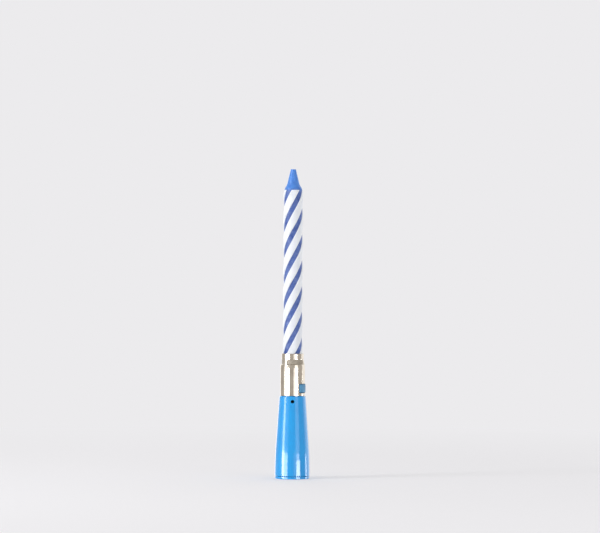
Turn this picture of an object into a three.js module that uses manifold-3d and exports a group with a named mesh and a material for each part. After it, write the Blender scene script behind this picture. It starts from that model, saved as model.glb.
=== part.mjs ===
// A musical birthday candle: a striped wax candle in a crimped metal socket, on a tapered
// plastic base that holds the melody circuit. Millimetres, +Z up, the origin at the middle of
// the underside, and the front of the candle towards -Y.

import * as THREE from 'three';
import { mergeVertices } from 'three/addons/utils/BufferGeometryUtils.js';
import Module from 'manifold-3d';

const wasm = await Module();
wasm.setup();

// Clearances shared by the whole candle
const pieceGap = 0.3;
const snugGap = 0.1;
const seamGap = 0.15;
const cutOverrun = 1;
const mergeTolerance = 1e-4;

// Base shell and its neck
const shellHeight = 32.05;
const shellFootRadius = 7.05;
const shellWall = 1.0;
const shellRoof = 1.1;
const mouthLedge = 0.35;
const curvedHeightShare = 0.417;
const neckHeight = 7.0;
const neckWall = 1.0;
const neckRoof = 1.0;
const lightHoleRadius = 1.0;
const ventRadius = 0.7;
const ventDrop = 2.1;

// Bottom cap, and the sounder that lies in it
const capFlangeHeight = 1.0;
const capEdgeRadius = 0.3;
const capSpigotHeight = 2.6;
const capSpigotWall = 0.8;
const capBeadStand = 0.18;
const capBeadHeight = 0.8;
const soundHoleRadius = 0.45;
const soundHoleCircle = 2.3;
const soundHoleCount = 6;
const sounderSeatHeight = 0.6;
const sounderSeatWidth = 0.9;
const sounderPlateHeight = 0.25;
const sounderRoom = 0.35;
const ceramicHeight = 0.25;
const ceramicRadiusShare = 0.674;

// Candle
const candleLength = 83.9;
const candleRadius = 3.93;
const bandThickness = 0.45;
const grooveDepth = 0.3;
const bandCount = 4;
const bandShare = 0.6;
const bandPitch = 41.6;
const bandPhase = THREE.MathUtils.degToRad(12.7);
const phaseDrop = 8.7;
const tipHeight = 10.3;
const wickRadius = 0.62;
const wickBoreRadius = 0.36;
const fibreRadius = 0.25;
const fibreRecess = 0.25;

// Radius and height of the sharpened end, as shares of the candle's radius and the end's height
const tipShares = [
  [1.0, 0.0],
  [0.985, 0.1],
  [0.93, 0.2],
  [0.82, 0.29],
  [0.7, 0.36],
  [0.61, 0.44],
  [0.52, 0.583],
  [0.415, 0.748],
  [0.33, 0.88],
  [0.27, 1.0],
];

// Metal socket, whose collar and crimps hold the candle
const socketHeight = 16.9;
const socketWall = 0.25;
const waxRoom = 0.27;
const crimpRoom = 0.13;
const collarStep = 0.5;
const collarHeight = 2.2;
const taperHeight = 3.5;
const crimpHeight = 2.35;
const crimpCount = 3;
const crimpArc = THREE.MathUtils.degToRad(104);
const crimpTurn = THREE.MathUtils.degToRad(18);
const crimpEndArc = THREE.MathUtils.degToRad(12);

// Lock tab and the window that it shows through
const tabTurn = THREE.MathUtils.degToRad(64);
const windowWidth = 5.3;
const windowHeight = 3.8;
const windowSill = 1.05;
const tabStand = 0.28;
const tabGap = 0.25;
const tongueDrop = 0.75;

// Cradle in the shell, and the button cells and contacts in it
const cradleRoom = 0.75;
const cradleWall = 1.05;
const cradleFloor = 0.6;
const cradleBridge = 1.1;
const cellHeight = 3.6;
const cellCapHeight = 0.7;
const cellCapInset = 0.6;
const contactSheet = 0.25;
const contactLowerInset = 0.75;
const contactUpperRadiusShare = 0.866;
const contactTabWidth = 2.0;
const contactTabRise = 2.2;

// Circuit board and what is soldered to it
const boardSheet = 0.8;
const boardSetback = 0.55;
const boardHeadroom = 0.3;
const boardFootInset = 0.7;
const boardFootRise = 2.4;
const chipRadius = 2.4;
const chipStand = 1.1;
const chipLift = 0.5;
const transistorRadius = 2.1;
const transistorFlatShare = 0.45;
const transistorHeight = 4.2;
const transistorLift = 0.4;
const capacitorRadius = 1.7;
const capacitorSheet = 1.0;
const capacitorLift = 3.7;
const resistorRadius = 0.8;
const resistorLength = 3.4;
const resistorLift = 1.9;
const partInset = 1.9;
const sensorRadius = 1.5;
const sensorRimStand = 0.25;
const sensorRimHeight = 0.7;
const sensorBodyHeight = 3.0;
const sensorRoom = 0.8;
const legRadius = 0.25;
const legSpacing = 2.54;
const legReachShare = 0.586;

// Leads from the board to the sounder
const leadRadius = 0.35;
const leadGap = 0.5;
const leadRise = 3.2;
const leadInset = 0.9;
const channelRoom = 0.35;

// How finely round shapes are divided
const roundSides = 40;
const smallSides = 20;
const leadSides = 6;
const leadSteps = 20;
const shellRows = 6;
const bandStep = THREE.MathUtils.degToRad(18);
const bandSides = 3;
const grooveSides = 2;
const tipRows = 9;
const taperRows = 3;
const crimpRows = 8;
const domeSteps = 5;
const edgeSteps = 4;

// Radii from the wax outwards to the shell's mouth
const bandSeatRadius = candleRadius - bandThickness;
const coreSeatRadius = bandSeatRadius - snugGap;
const grooveRadius = candleRadius - grooveDepth;
const wickHoleRadius = wickRadius + snugGap;
const collarRadius = candleRadius + waxRoom + socketWall;
const crimpFloorRadius = candleRadius + crimpRoom + socketWall;
const socketRadius = collarRadius + collarStep;
const neckRadius = socketRadius - socketWall - pieceGap;
const neckBore = neckRadius - neckWall;
const shellMouthRadius = socketRadius + mouthLedge;

// Radii from the shell's foot inwards
const spigotRadius = shellFootRadius - shellWall - pieceGap;
const spigotBore = spigotRadius - capSpigotWall;
const sounderRadius = spigotBore - sounderRoom;
const ceramicRadius = sounderRadius * ceramicRadiusShare;
const cradleRadius = shellFootRadius - shellWall - cradleRoom;
const cradleBore = cradleRadius - cradleWall;
const cellRadius = cradleBore - pieceGap;
const contactLowerRadius = cellRadius - contactLowerInset;
const contactUpperRadius = (cellRadius - cellCapInset) * contactUpperRadiusShare;

// Heights, from the table upwards
const plateFoot = capFlangeHeight + sounderSeatHeight;
const plateTop = plateFoot + sounderPlateHeight;
const ceramicTop = plateTop + ceramicHeight;
const spigotTop = capFlangeHeight + capSpigotHeight;
const cradleFloorTop = spigotTop + cradleFloor;
const cellFoot = cradleFloorTop + contactSheet;
const cellsTop = cellFoot + cellHeight + cellHeight;
const bridgeFoot = cellsTop + contactSheet + snugGap;
const bridgeTop = bridgeFoot + cradleBridge;
const shellFoot = capFlangeHeight + seamGap;
const shellTop = shellFoot + shellHeight;
const roofUnderside = shellTop - shellRoof;
const neckTop = shellTop + neckHeight;
const socketFoot = shellTop + seamGap;
const socketTop = socketFoot + socketHeight;
const collarFoot = socketTop - collarHeight;
const taperFoot = collarFoot - taperHeight;
const crimpFoot = collarFoot - crimpHeight;
const windowFoot = socketFoot + windowSill;
const windowTop = windowFoot + windowHeight;
const tongueFoot = windowFoot + tabGap - snugGap;
const tongueTop = neckTop - tongueDrop;
const candleFoot = neckTop + pieceGap;
const candleTop = candleFoot + candleLength;
const sharpenFoot = candleTop - tipHeight;

// A closed geometry as a solid that can be joined and cut
function solidOf(geometry) {
  const plain = geometry.clone();
  plain.deleteAttribute('normal');
  plain.deleteAttribute('uv');
  const merged = mergeVertices(plain, mergeTolerance);
  return new wasm.Manifold(new wasm.Mesh({
    numProp: 3,
    vertProperties: Float32Array.from(merged.attributes.position.array),
    triVerts: Uint32Array.from(merged.index.array),
  }));
}

// The geometry of a solid
function geometryOf(solid) {
  const mesh = solid.getMesh();
  const geometry = new THREE.BufferGeometry();
  geometry.setAttribute('position', new THREE.BufferAttribute(mesh.vertProperties, 3));
  geometry.setIndex(new THREE.BufferAttribute(mesh.triVerts, 1));
  return geometry;
}

// A solid turned about Z from a profile of [radius, height] corners, which starts and ends on
// the axis or closes on itself
function turned(profile, sides = roundSides) {
  const corners = profile.map(([radius, height]) => new THREE.Vector2(radius, height));
  return solidOf(new THREE.LatheGeometry(corners, sides).rotateX(Math.PI / 2));
}

// A solid disc or rod between two heights
function disc(radius, foot, top, sides = roundSides) {
  return turned([[0, foot], [radius, foot], [radius, top], [0, top]], sides);
}

// A tube between two heights
function tube(bore, radius, foot, top, sides = roundSides) {
  return turned([[bore, foot], [radius, foot], [radius, top], [bore, top], [bore, foot]], sides);
}

// A block between two opposite corners
function block(low, high) {
  const size = new THREE.Vector3(...high).sub(new THREE.Vector3(...low));
  const middle = new THREE.Vector3(...low).add(new THREE.Vector3(...high)).multiplyScalar(1 / 2);
  return solidOf(new THREE.BoxGeometry(size.x, size.y, size.z).translate(...middle));
}

// A block that points out from the axis at a turn from the front, between two radii
function radialBlock(turn, width, innerRadius, outerRadius, foot, top) {
  const box = new THREE.BoxGeometry(width, outerRadius - innerRadius, top - foot);
  box.translate(0, -(innerRadius + outerRadius) / 2, (foot + top) / 2);
  return solidOf(box.rotateZ(turn));
}

// A round rod along a level direction, from the axis outwards, at a turn from the front
function radialRod(turn, radius, reach, height, sides = smallSides) {
  return solidOf(new THREE.CylinderGeometry(radius, radius, reach, sides)
    .translate(0, -reach / 2, height)
    .rotateZ(turn));
}

// A ring of corners at each height becomes a closed skin with flat ends
function stackedRings(rings) {
  const sides = rings[0].length;
  const positions = rings.flat(2);
  const index = [];
  for (let row = 0; row + 1 < rings.length; row += 1) {
    for (let side = 0; side < sides; side += 1) {
      const next = (side + 1) % sides;
      const [a, b] = [row * sides + side, row * sides + next];
      index.push(a, b, b + sides, a, b + sides, a + sides);
    }
  }
  const outline = rings[0].map(([x, y]) => new THREE.Vector2(x, y));
  const ends = THREE.ShapeUtils.triangulateShape(outline, []);
  const last = (rings.length - 1) * sides;
  for (const [a, b, c] of ends) {
    index.push(a, c, b);
    index.push(last + a, last + b, last + c);
  }
  const geometry = new THREE.BufferGeometry();
  geometry.setAttribute('position', new THREE.Float32BufferAttribute(positions, 3));
  geometry.setIndex(index);
  return geometry;
}

const materials = {
  shell: new THREE.MeshStandardMaterial({ color: 0x2f95e0, roughness: 0.2, metalness: 0 }),
  blueWax: new THREE.MeshStandardMaterial({ color: 0x3f62b4, roughness: 0.45, metalness: 0 }),
  whiteWax: new THREE.MeshStandardMaterial({ color: 0xf3f4f6, roughness: 0.45, metalness: 0 }),
  steel: new THREE.MeshStandardMaterial({ color: 0xc9c4bb, roughness: 0.2, metalness: 1 }),
  brass: new THREE.MeshStandardMaterial({ color: 0xc9a35a, roughness: 0.35, metalness: 1 }),
  cotton: new THREE.MeshStandardMaterial({ color: 0xece6d8, roughness: 0.95, metalness: 0 }),
  clear: new THREE.MeshStandardMaterial({ color: 0xdfe9ee, roughness: 0.1, metalness: 0 }),
  ceramic: new THREE.MeshStandardMaterial({ color: 0xd9dadb, roughness: 0.5, metalness: 0 }),
  cradle: new THREE.MeshStandardMaterial({ color: 0xe9e9e6, roughness: 0.5, metalness: 0 }),
  board: new THREE.MeshStandardMaterial({ color: 0xb98a4a, roughness: 0.6, metalness: 0 }),
  epoxy: new THREE.MeshStandardMaterial({ color: 0x141414, roughness: 0.35, metalness: 0 }),
  resistor: new THREE.MeshStandardMaterial({ color: 0xcdb27c, roughness: 0.5, metalness: 0 }),
  capacitor: new THREE.MeshStandardMaterial({ color: 0xc8742c, roughness: 0.5, metalness: 0 }),
  redLead: new THREE.MeshStandardMaterial({ color: 0xc02a22, roughness: 0.5, metalness: 0 }),
  blackLead: new THREE.MeshStandardMaterial({ color: 0x1b1b1c, roughness: 0.5, metalness: 0 }),
};

const candle = new THREE.Group();

// Adds a finished piece under its name
function add(name, shape, material) {
  const geometry = shape.isBufferGeometry ? shape : geometryOf(shape);
  const mesh = new THREE.Mesh(geometry, material);
  mesh.name = name;
  candle.add(mesh);
}

// Base shell

const tabWidth = windowWidth - tabGap - tabGap;

// The outer radius of the shell: a parabola that leaves the foot upright and runs into a
// straight taper up to the mouth
const curvedHeight = shellHeight * curvedHeightShare;
const straightHeight = shellHeight - curvedHeight;
const shellBend = (shellFootRadius - shellMouthRadius)
  / (curvedHeight * curvedHeight + 2 * curvedHeight * straightHeight);

function shellRadius(height) {
  const rise = height - shellFoot;
  const curved = Math.min(rise, curvedHeight);
  const straight = rise - curved;
  return shellFootRadius - shellBend * (curved * curved + 2 * curvedHeight * straight);
}

function shellHeights(top) {
  const heights = [];
  for (let row = 0; row < shellRows; row += 1) {
    heights.push(shellFoot + curvedHeight * row / (shellRows - 1));
  }
  heights.push(top);
  return heights;
}

function baseShell() {
  const outside = shellHeights(shellTop).map((height) => [shellRadius(height), height]);
  const hollow = shellHeights(roofUnderside)
    .map((height) => [shellRadius(height) - shellWall, height])
    .reverse();
  const shell = turned([
    ...outside,
    [neckRadius, shellTop],
    [neckRadius, neckTop],
    [lightHoleRadius, neckTop],
    [lightHoleRadius, neckTop - neckRoof],
    [neckBore, neckTop - neckRoof],
    [neckBore, roofUnderside],
    ...hollow,
    outside[0],
  ]);
  const vent = radialRod(0, ventRadius, shellFootRadius, shellTop - ventDrop);
  const tongueSlot = radialBlock(
    tabTurn,
    tabWidth + pieceGap + pieceGap,
    neckBore - cutOverrun,
    neckRadius + cutOverrun,
    tongueFoot - pieceGap,
    tongueTop + pieceGap,
  );
  return shell.subtract(vent).subtract(tongueSlot);
}

// Lock tab

// The tongue hangs in the neck's wall, and its head fills the socket's window
function lockTab() {
  const tongue = tube(neckBore, neckRadius, tongueFoot, tongueTop, roundSides)
    .intersect(radialBlock(
      tabTurn, tabWidth, 0, neckRadius + cutOverrun, tongueFoot, tongueTop,
    ));
  const headRadius = socketRadius + tabStand;
  const head = tube(neckBore, headRadius, windowFoot + tabGap, windowTop - tabGap, roundSides)
    .intersect(radialBlock(
      tabTurn, tabWidth, 0, headRadius + cutOverrun, windowFoot, windowTop,
    ));
  return tongue.add(head);
}

// Metal socket

// How far the socket has narrowed from sleeve to collar at a height, from 0 to 1
function narrowing(height) {
  return THREE.MathUtils.smoothstep(height, taperFoot, collarFoot);
}

// How deep a crimp is pressed at a turn from the front and a height, from 0 to 1
function crimpDepth(turn, height) {
  const middle = (crimpFoot + collarFoot) / 2;
  const across = (height - middle) / (crimpHeight / 2);
  const upright = Math.max(0, 1 - across * across);
  const sector = Math.PI * 2 / crimpCount;
  const offset = THREE.MathUtils.euclideanModulo(turn - crimpTurn + sector / 2, sector) - sector / 2;
  const inside = crimpArc / 2 - Math.abs(offset);
  return Math.sqrt(upright) * THREE.MathUtils.smoothstep(inside, 0, crimpEndArc);
}

function socketRadiusAt(turn, height) {
  const plain = THREE.MathUtils.lerp(socketRadius, collarRadius, narrowing(height));
  return THREE.MathUtils.lerp(plain, crimpFloorRadius, crimpDepth(turn, height));
}

// The sleeve's outer and inner skins, row by row around a closed section
function metalSocket() {
  const heights = [socketFoot];
  for (let row = 0; row < taperRows; row += 1) {
    heights.push(taperFoot + (crimpFoot - taperFoot) * row / taperRows);
  }
  for (let row = 0; row <= crimpRows; row += 1) {
    heights.push(crimpFoot + crimpHeight * row / crimpRows);
  }
  heights.push(socketTop);
  const rows = [
    ...heights.map((height) => [height, 0]),
    ...heights.slice().reverse().map((height) => [height, socketWall]),
  ];
  const positions = [];
  const index = [];
  rows.forEach(([height, inset], row) => {
    for (let side = 0; side < roundSides; side += 1) {
      const turn = Math.PI * 2 * side / roundSides;
      const radius = socketRadiusAt(turn, height) - inset;
      positions.push(radius * Math.sin(turn), -radius * Math.cos(turn), height);
      const next = (side + 1) % roundSides;
      const above = (row + 1) % rows.length;
      const [a, b] = [row * roundSides + side, row * roundSides + next];
      const [c, d] = [above * roundSides + next, above * roundSides + side];
      index.push(a, b, c, a, c, d);
    }
  });
  const geometry = new THREE.BufferGeometry();
  geometry.setAttribute('position', new THREE.Float32BufferAttribute(positions, 3));
  geometry.setIndex(index);
  const window = radialBlock(
    tabTurn,
    windowWidth,
    neckRadius - cutOverrun,
    socketRadius + cutOverrun,
    windowFoot,
    windowTop,
  );
  return solidOf(geometry).subtract(window);
}

// Wax

const bandArc = Math.PI * 2 * bandShare / bandCount;
const sectorArc = Math.PI * 2 / bandCount;

// The turn of a band's middle at a height; the bands climb to the right
function bandTurn(height) {
  const phaseHeight = candleTop - phaseDrop;
  return bandPhase + Math.PI * 2 * (height - phaseHeight) / bandPitch;
}

// An outline of [turn, radius] corners carried up the candle's twist
function twisted(outline, foot, top) {
  const steps = Math.ceil(Math.abs(bandTurn(top) - bandTurn(foot)) / bandStep);
  const rings = [];
  for (let step = 0; step <= steps; step += 1) {
    const height = foot + (top - foot) * step / steps;
    const twist = bandTurn(height);
    rings.push(outline.map(([turn, radius]) => [
      radius * Math.sin(turn + twist),
      -radius * Math.cos(turn + twist),
      height,
    ]));
  }
  return solidOf(stackedRings(rings));
}

// What sharpening leaves of the candle, a little wider than the wax below the sharpened end
function sharpenedSpace() {
  const end = tipShares.map(([radius, height]) => new THREE.Vector2(
    candleRadius * radius,
    sharpenFoot + tipHeight * height,
  ));
  const curve = new THREE.SplineCurve(end).getPoints(tipRows);
  return turned([
    [0, candleFoot - cutOverrun],
    [candleRadius + cutOverrun, candleFoot - cutOverrun],
    [candleRadius + cutOverrun, sharpenFoot],
    ...curve.map((point) => [point.x, point.y]),
    [0, candleTop],
  ]);
}

function waxCore(space) {
  const outline = [];
  const seatArc = bandArc + 2 * snugGap / candleRadius;
  const grooveArc = sectorArc - seatArc;
  for (let band = 0; band < bandCount; band += 1) {
    const middle = sectorArc * band;
    for (let side = 0; side <= bandSides; side += 1) {
      outline.push([middle - seatArc / 2 + seatArc * side / bandSides, coreSeatRadius]);
    }
    for (let side = 0; side <= grooveSides; side += 1) {
      outline.push([middle + seatArc / 2 + grooveArc * side / grooveSides, grooveRadius]);
    }
  }
  return twisted(outline, candleFoot, candleTop)
    .intersect(space)
    .subtract(disc(wickHoleRadius, candleFoot - cutOverrun, candleTop + cutOverrun, smallSides));
}

function whiteBand(band, space) {
  const middle = sectorArc * band;
  const outline = [];
  for (let side = 0; side <= bandSides; side += 1) {
    outline.push([middle - bandArc / 2 + bandArc * side / bandSides, candleRadius]);
  }
  for (let side = bandSides; side >= 0; side -= 1) {
    outline.push([middle - bandArc / 2 + bandArc * side / bandSides, bandSeatRadius]);
  }
  return twisted(outline, candleFoot, candleTop).intersect(space);
}

// Bottom cap

function bottomCap() {
  const edge = [];
  for (let step = 0; step <= edgeSteps; step += 1) {
    const turn = Math.PI / 2 * step / edgeSteps;
    edge.push([
      shellFootRadius - capEdgeRadius + capEdgeRadius * Math.sin(turn),
      capEdgeRadius - capEdgeRadius * Math.cos(turn),
    ]);
  }
  const beadMiddle = (capFlangeHeight + spigotTop) / 2;
  const seatRadius = spigotBore - sounderSeatWidth;
  const cap = turned([
    [0, 0],
    ...edge,
    [shellFootRadius, capFlangeHeight],
    [spigotRadius, capFlangeHeight],
    [spigotRadius, beadMiddle - capBeadHeight / 2],
    [spigotRadius + capBeadStand, beadMiddle],
    [spigotRadius, beadMiddle + capBeadHeight / 2],
    [spigotRadius, spigotTop],
    [spigotBore, spigotTop],
    [spigotBore, plateFoot],
    [seatRadius, plateFoot],
    [seatRadius, capFlangeHeight],
    [0, capFlangeHeight],
  ]);
  let drilled = cap;
  for (let hole = 0; hole < soundHoleCount; hole += 1) {
    const turn = Math.PI * 2 * hole / soundHoleCount;
    const drill = new THREE.CylinderGeometry(
      soundHoleRadius, soundHoleRadius, capFlangeHeight + 2 * cutOverrun, smallSides / 2,
    );
    drill.rotateX(Math.PI / 2).translate(0, soundHoleCircle, capFlangeHeight / 2).rotateZ(turn);
    drilled = drilled.subtract(solidOf(drill));
  }
  return drilled;
}

// Battery cradle: a cage round the cells, with a channel down each side and a bridge that
// holds the circuit board upright

const boardFootWidth = 2 * (contactLowerRadius - boardFootInset);
const boardFace = boardSetback;
const boardBack = boardFace + boardSheet;
const tabFace = boardFace - pieceGap - contactSheet;
const stripFace = cradleBore + snugGap;
const leadSpacing = leadRadius + leadRadius + leadGap;
const leadMiddle = cradleRadius - leadRadius - snugGap;
const stripChannelHalf = contactTabWidth / 2 + pieceGap;
const leadChannelHalf = leadSpacing / 2 + leadRadius + channelRoom;

function batteryCradle() {
  const cage = disc(cradleRadius, spigotTop, bridgeTop);
  const cellSpace = disc(cradleBore, cradleFloorTop, bridgeFoot);
  const stripChannel = block(
    [contactLowerRadius, -stripChannelHalf, cradleFloorTop],
    [cradleRadius + cutOverrun, stripChannelHalf, bridgeTop + cutOverrun],
  );
  const leadChannel = block(
    [-cradleRadius - cutOverrun, -leadChannelHalf, spigotTop - cutOverrun],
    [-contactLowerRadius, leadChannelHalf, bridgeTop + cutOverrun],
  );
  const boardSlot = block(
    [-boardFootWidth / 2 - snugGap, boardFace - snugGap, bridgeFoot - cutOverrun],
    [boardFootWidth / 2 + snugGap, boardBack + snugGap, bridgeTop + cutOverrun],
  );
  const tabHole = block(
    [-stripChannelHalf, tabFace - pieceGap, bridgeFoot - cutOverrun],
    [stripChannelHalf, boardFace, bridgeTop + cutOverrun],
  );
  return cage
    .subtract(cellSpace)
    .subtract(stripChannel)
    .subtract(leadChannel)
    .subtract(boardSlot)
    .subtract(tabHole);
}

// A button cell: the can below and the narrower cap above
function buttonCell(foot) {
  const shoulder = foot + cellHeight - cellCapHeight;
  return turned([
    [0, foot],
    [cellRadius, foot],
    [cellRadius, shoulder],
    [cellRadius - cellCapInset, shoulder],
    [cellRadius - cellCapInset, foot + cellHeight],
    [0, foot + cellHeight],
  ]);
}

// The lower contact lies under the cells and runs up the right channel to the board
function contactLower() {
  const plate = disc(contactLowerRadius, cradleFloorTop, cellFoot, smallSides);
  const arm = block(
    [0, -contactTabWidth / 2, cradleFloorTop],
    [stripFace + contactSheet, contactTabWidth / 2, cellFoot],
  );
  const strip = block(
    [stripFace, -contactTabWidth / 2, cradleFloorTop],
    [stripFace + contactSheet, contactTabWidth / 2, boardShoulder - snugGap],
  );
  return plate.add(arm).add(strip);
}

// The upper contact lies on the cells, and its tab rises through the bridge to the board
function contactUpper() {
  const plate = disc(contactUpperRadius, cellsTop, cellsTop + contactSheet, smallSides);
  const tab = block(
    [-contactTabWidth / 2, tabFace, cellsTop],
    [contactTabWidth / 2, tabFace + contactSheet, contactTabTop],
  );
  return plate.add(tab);
}

// Circuit board and what is soldered to it: its foot stands in the cradle's bridge, and its
// shoulders are as wide as the shell allows at the board's top

const boardTop = roofUnderside - boardHeadroom;
const boardShoulder = bridgeTop + boardFootRise;
const boardReach = shellRadius(boardTop) - shellWall - pieceGap;
const boardWidth = 2 * Math.sqrt(boardReach * boardReach - boardBack * boardBack);
const contactTabTop = bridgeTop + contactTabRise;
const transistorFoot = contactTabTop + transistorLift;
const transistorTop = transistorFoot + transistorHeight;
const chipMiddle = transistorTop + chipLift + chipRadius;
const chipTop = chipMiddle + chipRadius;
const capacitorMiddle = bridgeTop + capacitorLift + capacitorRadius;
const resistorFoot = capacitorMiddle + capacitorRadius + resistorLift;
const legFoot = boardTop - (boardTop - chipTop) * legReachShare;

function circuitBoard() {
  const wide = block(
    [-boardWidth / 2, boardFace, boardShoulder],
    [boardWidth / 2, boardBack, boardTop],
  );
  const foot = block(
    [-boardFootWidth / 2, boardFace, bridgeFoot + snugGap],
    [boardFootWidth / 2, boardBack, boardShoulder + cutOverrun],
  );
  return wide.add(foot);
}

// A low dome on the board's front face
function melodyChip() {
  const dome = [];
  for (let step = 0; step <= domeSteps; step += 1) {
    const turn = Math.PI / 2 * step / domeSteps;
    dome.push([chipRadius * Math.cos(turn), chipStand * Math.sin(turn)]);
  }
  const corners = [[0, 0], ...dome].map(([radius, rise]) => new THREE.Vector2(radius, rise));
  return solidOf(new THREE.LatheGeometry(corners, smallSides)
    .rotateX(Math.PI)
    .translate(0, boardFace - snugGap, chipMiddle));
}

// A half-round moulded body with its flat side to the board
function driverTransistor() {
  const flat = transistorRadius * transistorFlatShare;
  const body = disc(transistorRadius, transistorFoot, transistorTop, smallSides);
  const kept = block(
    [-transistorRadius - cutOverrun, -transistorRadius - cutOverrun, transistorFoot - cutOverrun],
    [transistorRadius + cutOverrun, flat, transistorTop + cutOverrun],
  );
  return geometryOf(body.intersect(kept)).translate(0, boardFace - pieceGap - flat, 0);
}

// A barrel with rounded ends, upright behind the board
function resistor() {
  const top = resistorFoot + resistorLength;
  const round = resistorRadius / 2;
  const barrel = turned([
    [0, resistorFoot],
    [resistorRadius - round, resistorFoot],
    [resistorRadius, resistorFoot + round],
    [resistorRadius, top - round],
    [resistorRadius - round, top],
    [0, top],
  ], smallSides);
  return geometryOf(barrel).translate(-partInset, boardBack + pieceGap + resistorRadius, 0);
}

// A flat disc that stands behind the board
function capacitor() {
  const face = boardBack + pieceGap;
  return solidOf(new THREE.CylinderGeometry(
    capacitorRadius, capacitorRadius, capacitorSheet, smallSides,
  ).translate(partInset, face + capacitorSheet / 2, capacitorMiddle));
}

const sensorTop = neckTop - neckRoof - sensorRoom;
const sensorShoulder = sensorTop - sensorRadius;
const sensorFoot = sensorShoulder - sensorBodyHeight;

// A clear body with a rim at its foot and a domed top that looks up at the candle's foot
function lightSensor() {
  const dome = [];
  for (let step = 0; step <= domeSteps; step += 1) {
    const turn = Math.PI / 2 * step / domeSteps;
    dome.push([
      sensorRadius * Math.cos(turn),
      sensorShoulder + sensorRadius * Math.sin(turn),
    ]);
  }
  return turned([
    [0, sensorFoot],
    [sensorRadius + sensorRimStand, sensorFoot],
    [sensorRadius + sensorRimStand, sensorFoot + sensorRimHeight],
    [sensorRadius, sensorFoot + sensorRimHeight],
    ...dome,
  ], smallSides);
}

function sensorLeg(side) {
  const leg = disc(legRadius, legFoot, sensorFoot, leadSides);
  return geometryOf(leg).translate(side * legSpacing / 2, 0, 0);
}

// A lead down the left channel and in over the sounder: the red one from the back of the board,
// the black one from its front
function lead(side) {
  const y = side * leadSpacing / 2;
  const clear = pieceGap + leadRadius;
  const leadOverSounder = ceramicTop + snugGap + leadRadius;
  const boardEnd = side > 0 ? boardBack + clear : boardFace - clear;
  const solderEnd = -boardWidth / 2 + leadInset;
  const route = new THREE.CatmullRomCurve3([
    new THREE.Vector3(solderEnd, boardEnd, bridgeTop + leadRise),
    new THREE.Vector3(leadRadius - leadMiddle, boardEnd, bridgeTop + leadRise - leadRadius),
    new THREE.Vector3(-leadMiddle, y, bridgeTop),
    new THREE.Vector3(-leadMiddle, y, cellsTop),
    new THREE.Vector3(-leadMiddle, y, cellFoot + cellHeight),
    new THREE.Vector3(-leadMiddle, y, cellFoot + leadRadius),
    new THREE.Vector3(-cellRadius - leadRadius, y, spigotTop),
    new THREE.Vector3(-ceramicRadius, y, leadOverSounder),
    new THREE.Vector3(-ceramicRadius + leadInset, y, leadOverSounder),
  ]);
  const section = new THREE.Shape();
  section.absarc(0, 0, leadRadius, 0, Math.PI * 2, false);
  return solidOf(new THREE.ExtrudeGeometry(section, {
    steps: leadSteps,
    curveSegments: leadSides / 2,
    extrudePath: route,
  }));
}

const space = sharpenedSpace();

add('base_shell', baseShell(), materials.shell);
add('lock_tab', lockTab(), materials.shell);
add('metal_socket', metalSocket(), materials.steel);
add('wax_core', waxCore(space), materials.blueWax);
for (let band = 0; band < bandCount; band += 1) {
  add(`white_band_${band + 1}`, whiteBand(band, space), materials.whiteWax);
}
add(
  'wick',
  tube(wickBoreRadius, wickRadius, candleFoot, candleTop, smallSides),
  materials.cotton,
);
add(
  'light_fibre',
  disc(fibreRadius, candleFoot, candleTop - fibreRecess, smallSides / 2),
  materials.clear,
);
add('bottom_cap', bottomCap(), materials.shell);
add('sounder_plate', disc(sounderRadius, plateFoot, plateTop), materials.brass);
add('sounder_ceramic', disc(ceramicRadius, plateTop, ceramicTop), materials.ceramic);
add('battery_cradle', batteryCradle(), materials.cradle);
add('contact_lower', contactLower(), materials.brass);
add('cell_lower', buttonCell(cellFoot), materials.steel);
add('cell_upper', buttonCell(cellFoot + cellHeight), materials.steel);
add('contact_upper', contactUpper(), materials.brass);
add('circuit_board', circuitBoard(), materials.board);
add('melody_chip', melodyChip(), materials.epoxy);
add('driver_transistor', driverTransistor(), materials.epoxy);
add('resistor', resistor(), materials.resistor);
add('capacitor', capacitor(), materials.capacitor);
add('light_sensor', lightSensor(), materials.clear);
add('sensor_leg_left', sensorLeg(-1), materials.steel);
add('sensor_leg_right', sensorLeg(1), materials.steel);
add('lead_red', lead(1), materials.redLead);
add('lead_black', lead(-1), materials.blackLead);

export default candle;
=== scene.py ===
"""The looks of the musical birthday candle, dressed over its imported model.

Each sub-assembly is a class whose fields are its sizes in millimetres. Its methods work out the
surfaces of its pieces as arrays, give them their finishes and ride them on the frame's bodies. A
turn is an angle from the front (-Y) towards +X, and heights are measured from the table.
"""

import logging
import math
from collections.abc import Iterable
from dataclasses import dataclass, field
from enum import Enum

import bpy
import numpy as np
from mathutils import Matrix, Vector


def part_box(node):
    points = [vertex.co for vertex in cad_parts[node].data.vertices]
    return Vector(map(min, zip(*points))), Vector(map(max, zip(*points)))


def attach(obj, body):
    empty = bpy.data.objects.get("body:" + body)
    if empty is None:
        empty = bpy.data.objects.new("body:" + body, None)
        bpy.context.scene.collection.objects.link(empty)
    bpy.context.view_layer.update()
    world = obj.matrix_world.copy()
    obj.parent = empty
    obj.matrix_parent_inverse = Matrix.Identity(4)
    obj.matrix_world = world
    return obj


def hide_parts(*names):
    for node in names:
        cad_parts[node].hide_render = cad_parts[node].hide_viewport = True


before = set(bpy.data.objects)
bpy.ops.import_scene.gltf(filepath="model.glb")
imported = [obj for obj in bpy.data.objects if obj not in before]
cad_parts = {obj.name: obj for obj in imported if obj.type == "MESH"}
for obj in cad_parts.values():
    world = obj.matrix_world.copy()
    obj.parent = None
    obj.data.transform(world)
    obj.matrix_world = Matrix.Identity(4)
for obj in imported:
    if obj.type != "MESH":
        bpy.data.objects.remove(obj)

Array = np.ndarray
Colour = tuple[float, float, float, float]
Socket = bpy.types.NodeSocket
Spot = tuple[float, float, float]
LOG = logging.getLogger("candle")

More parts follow.
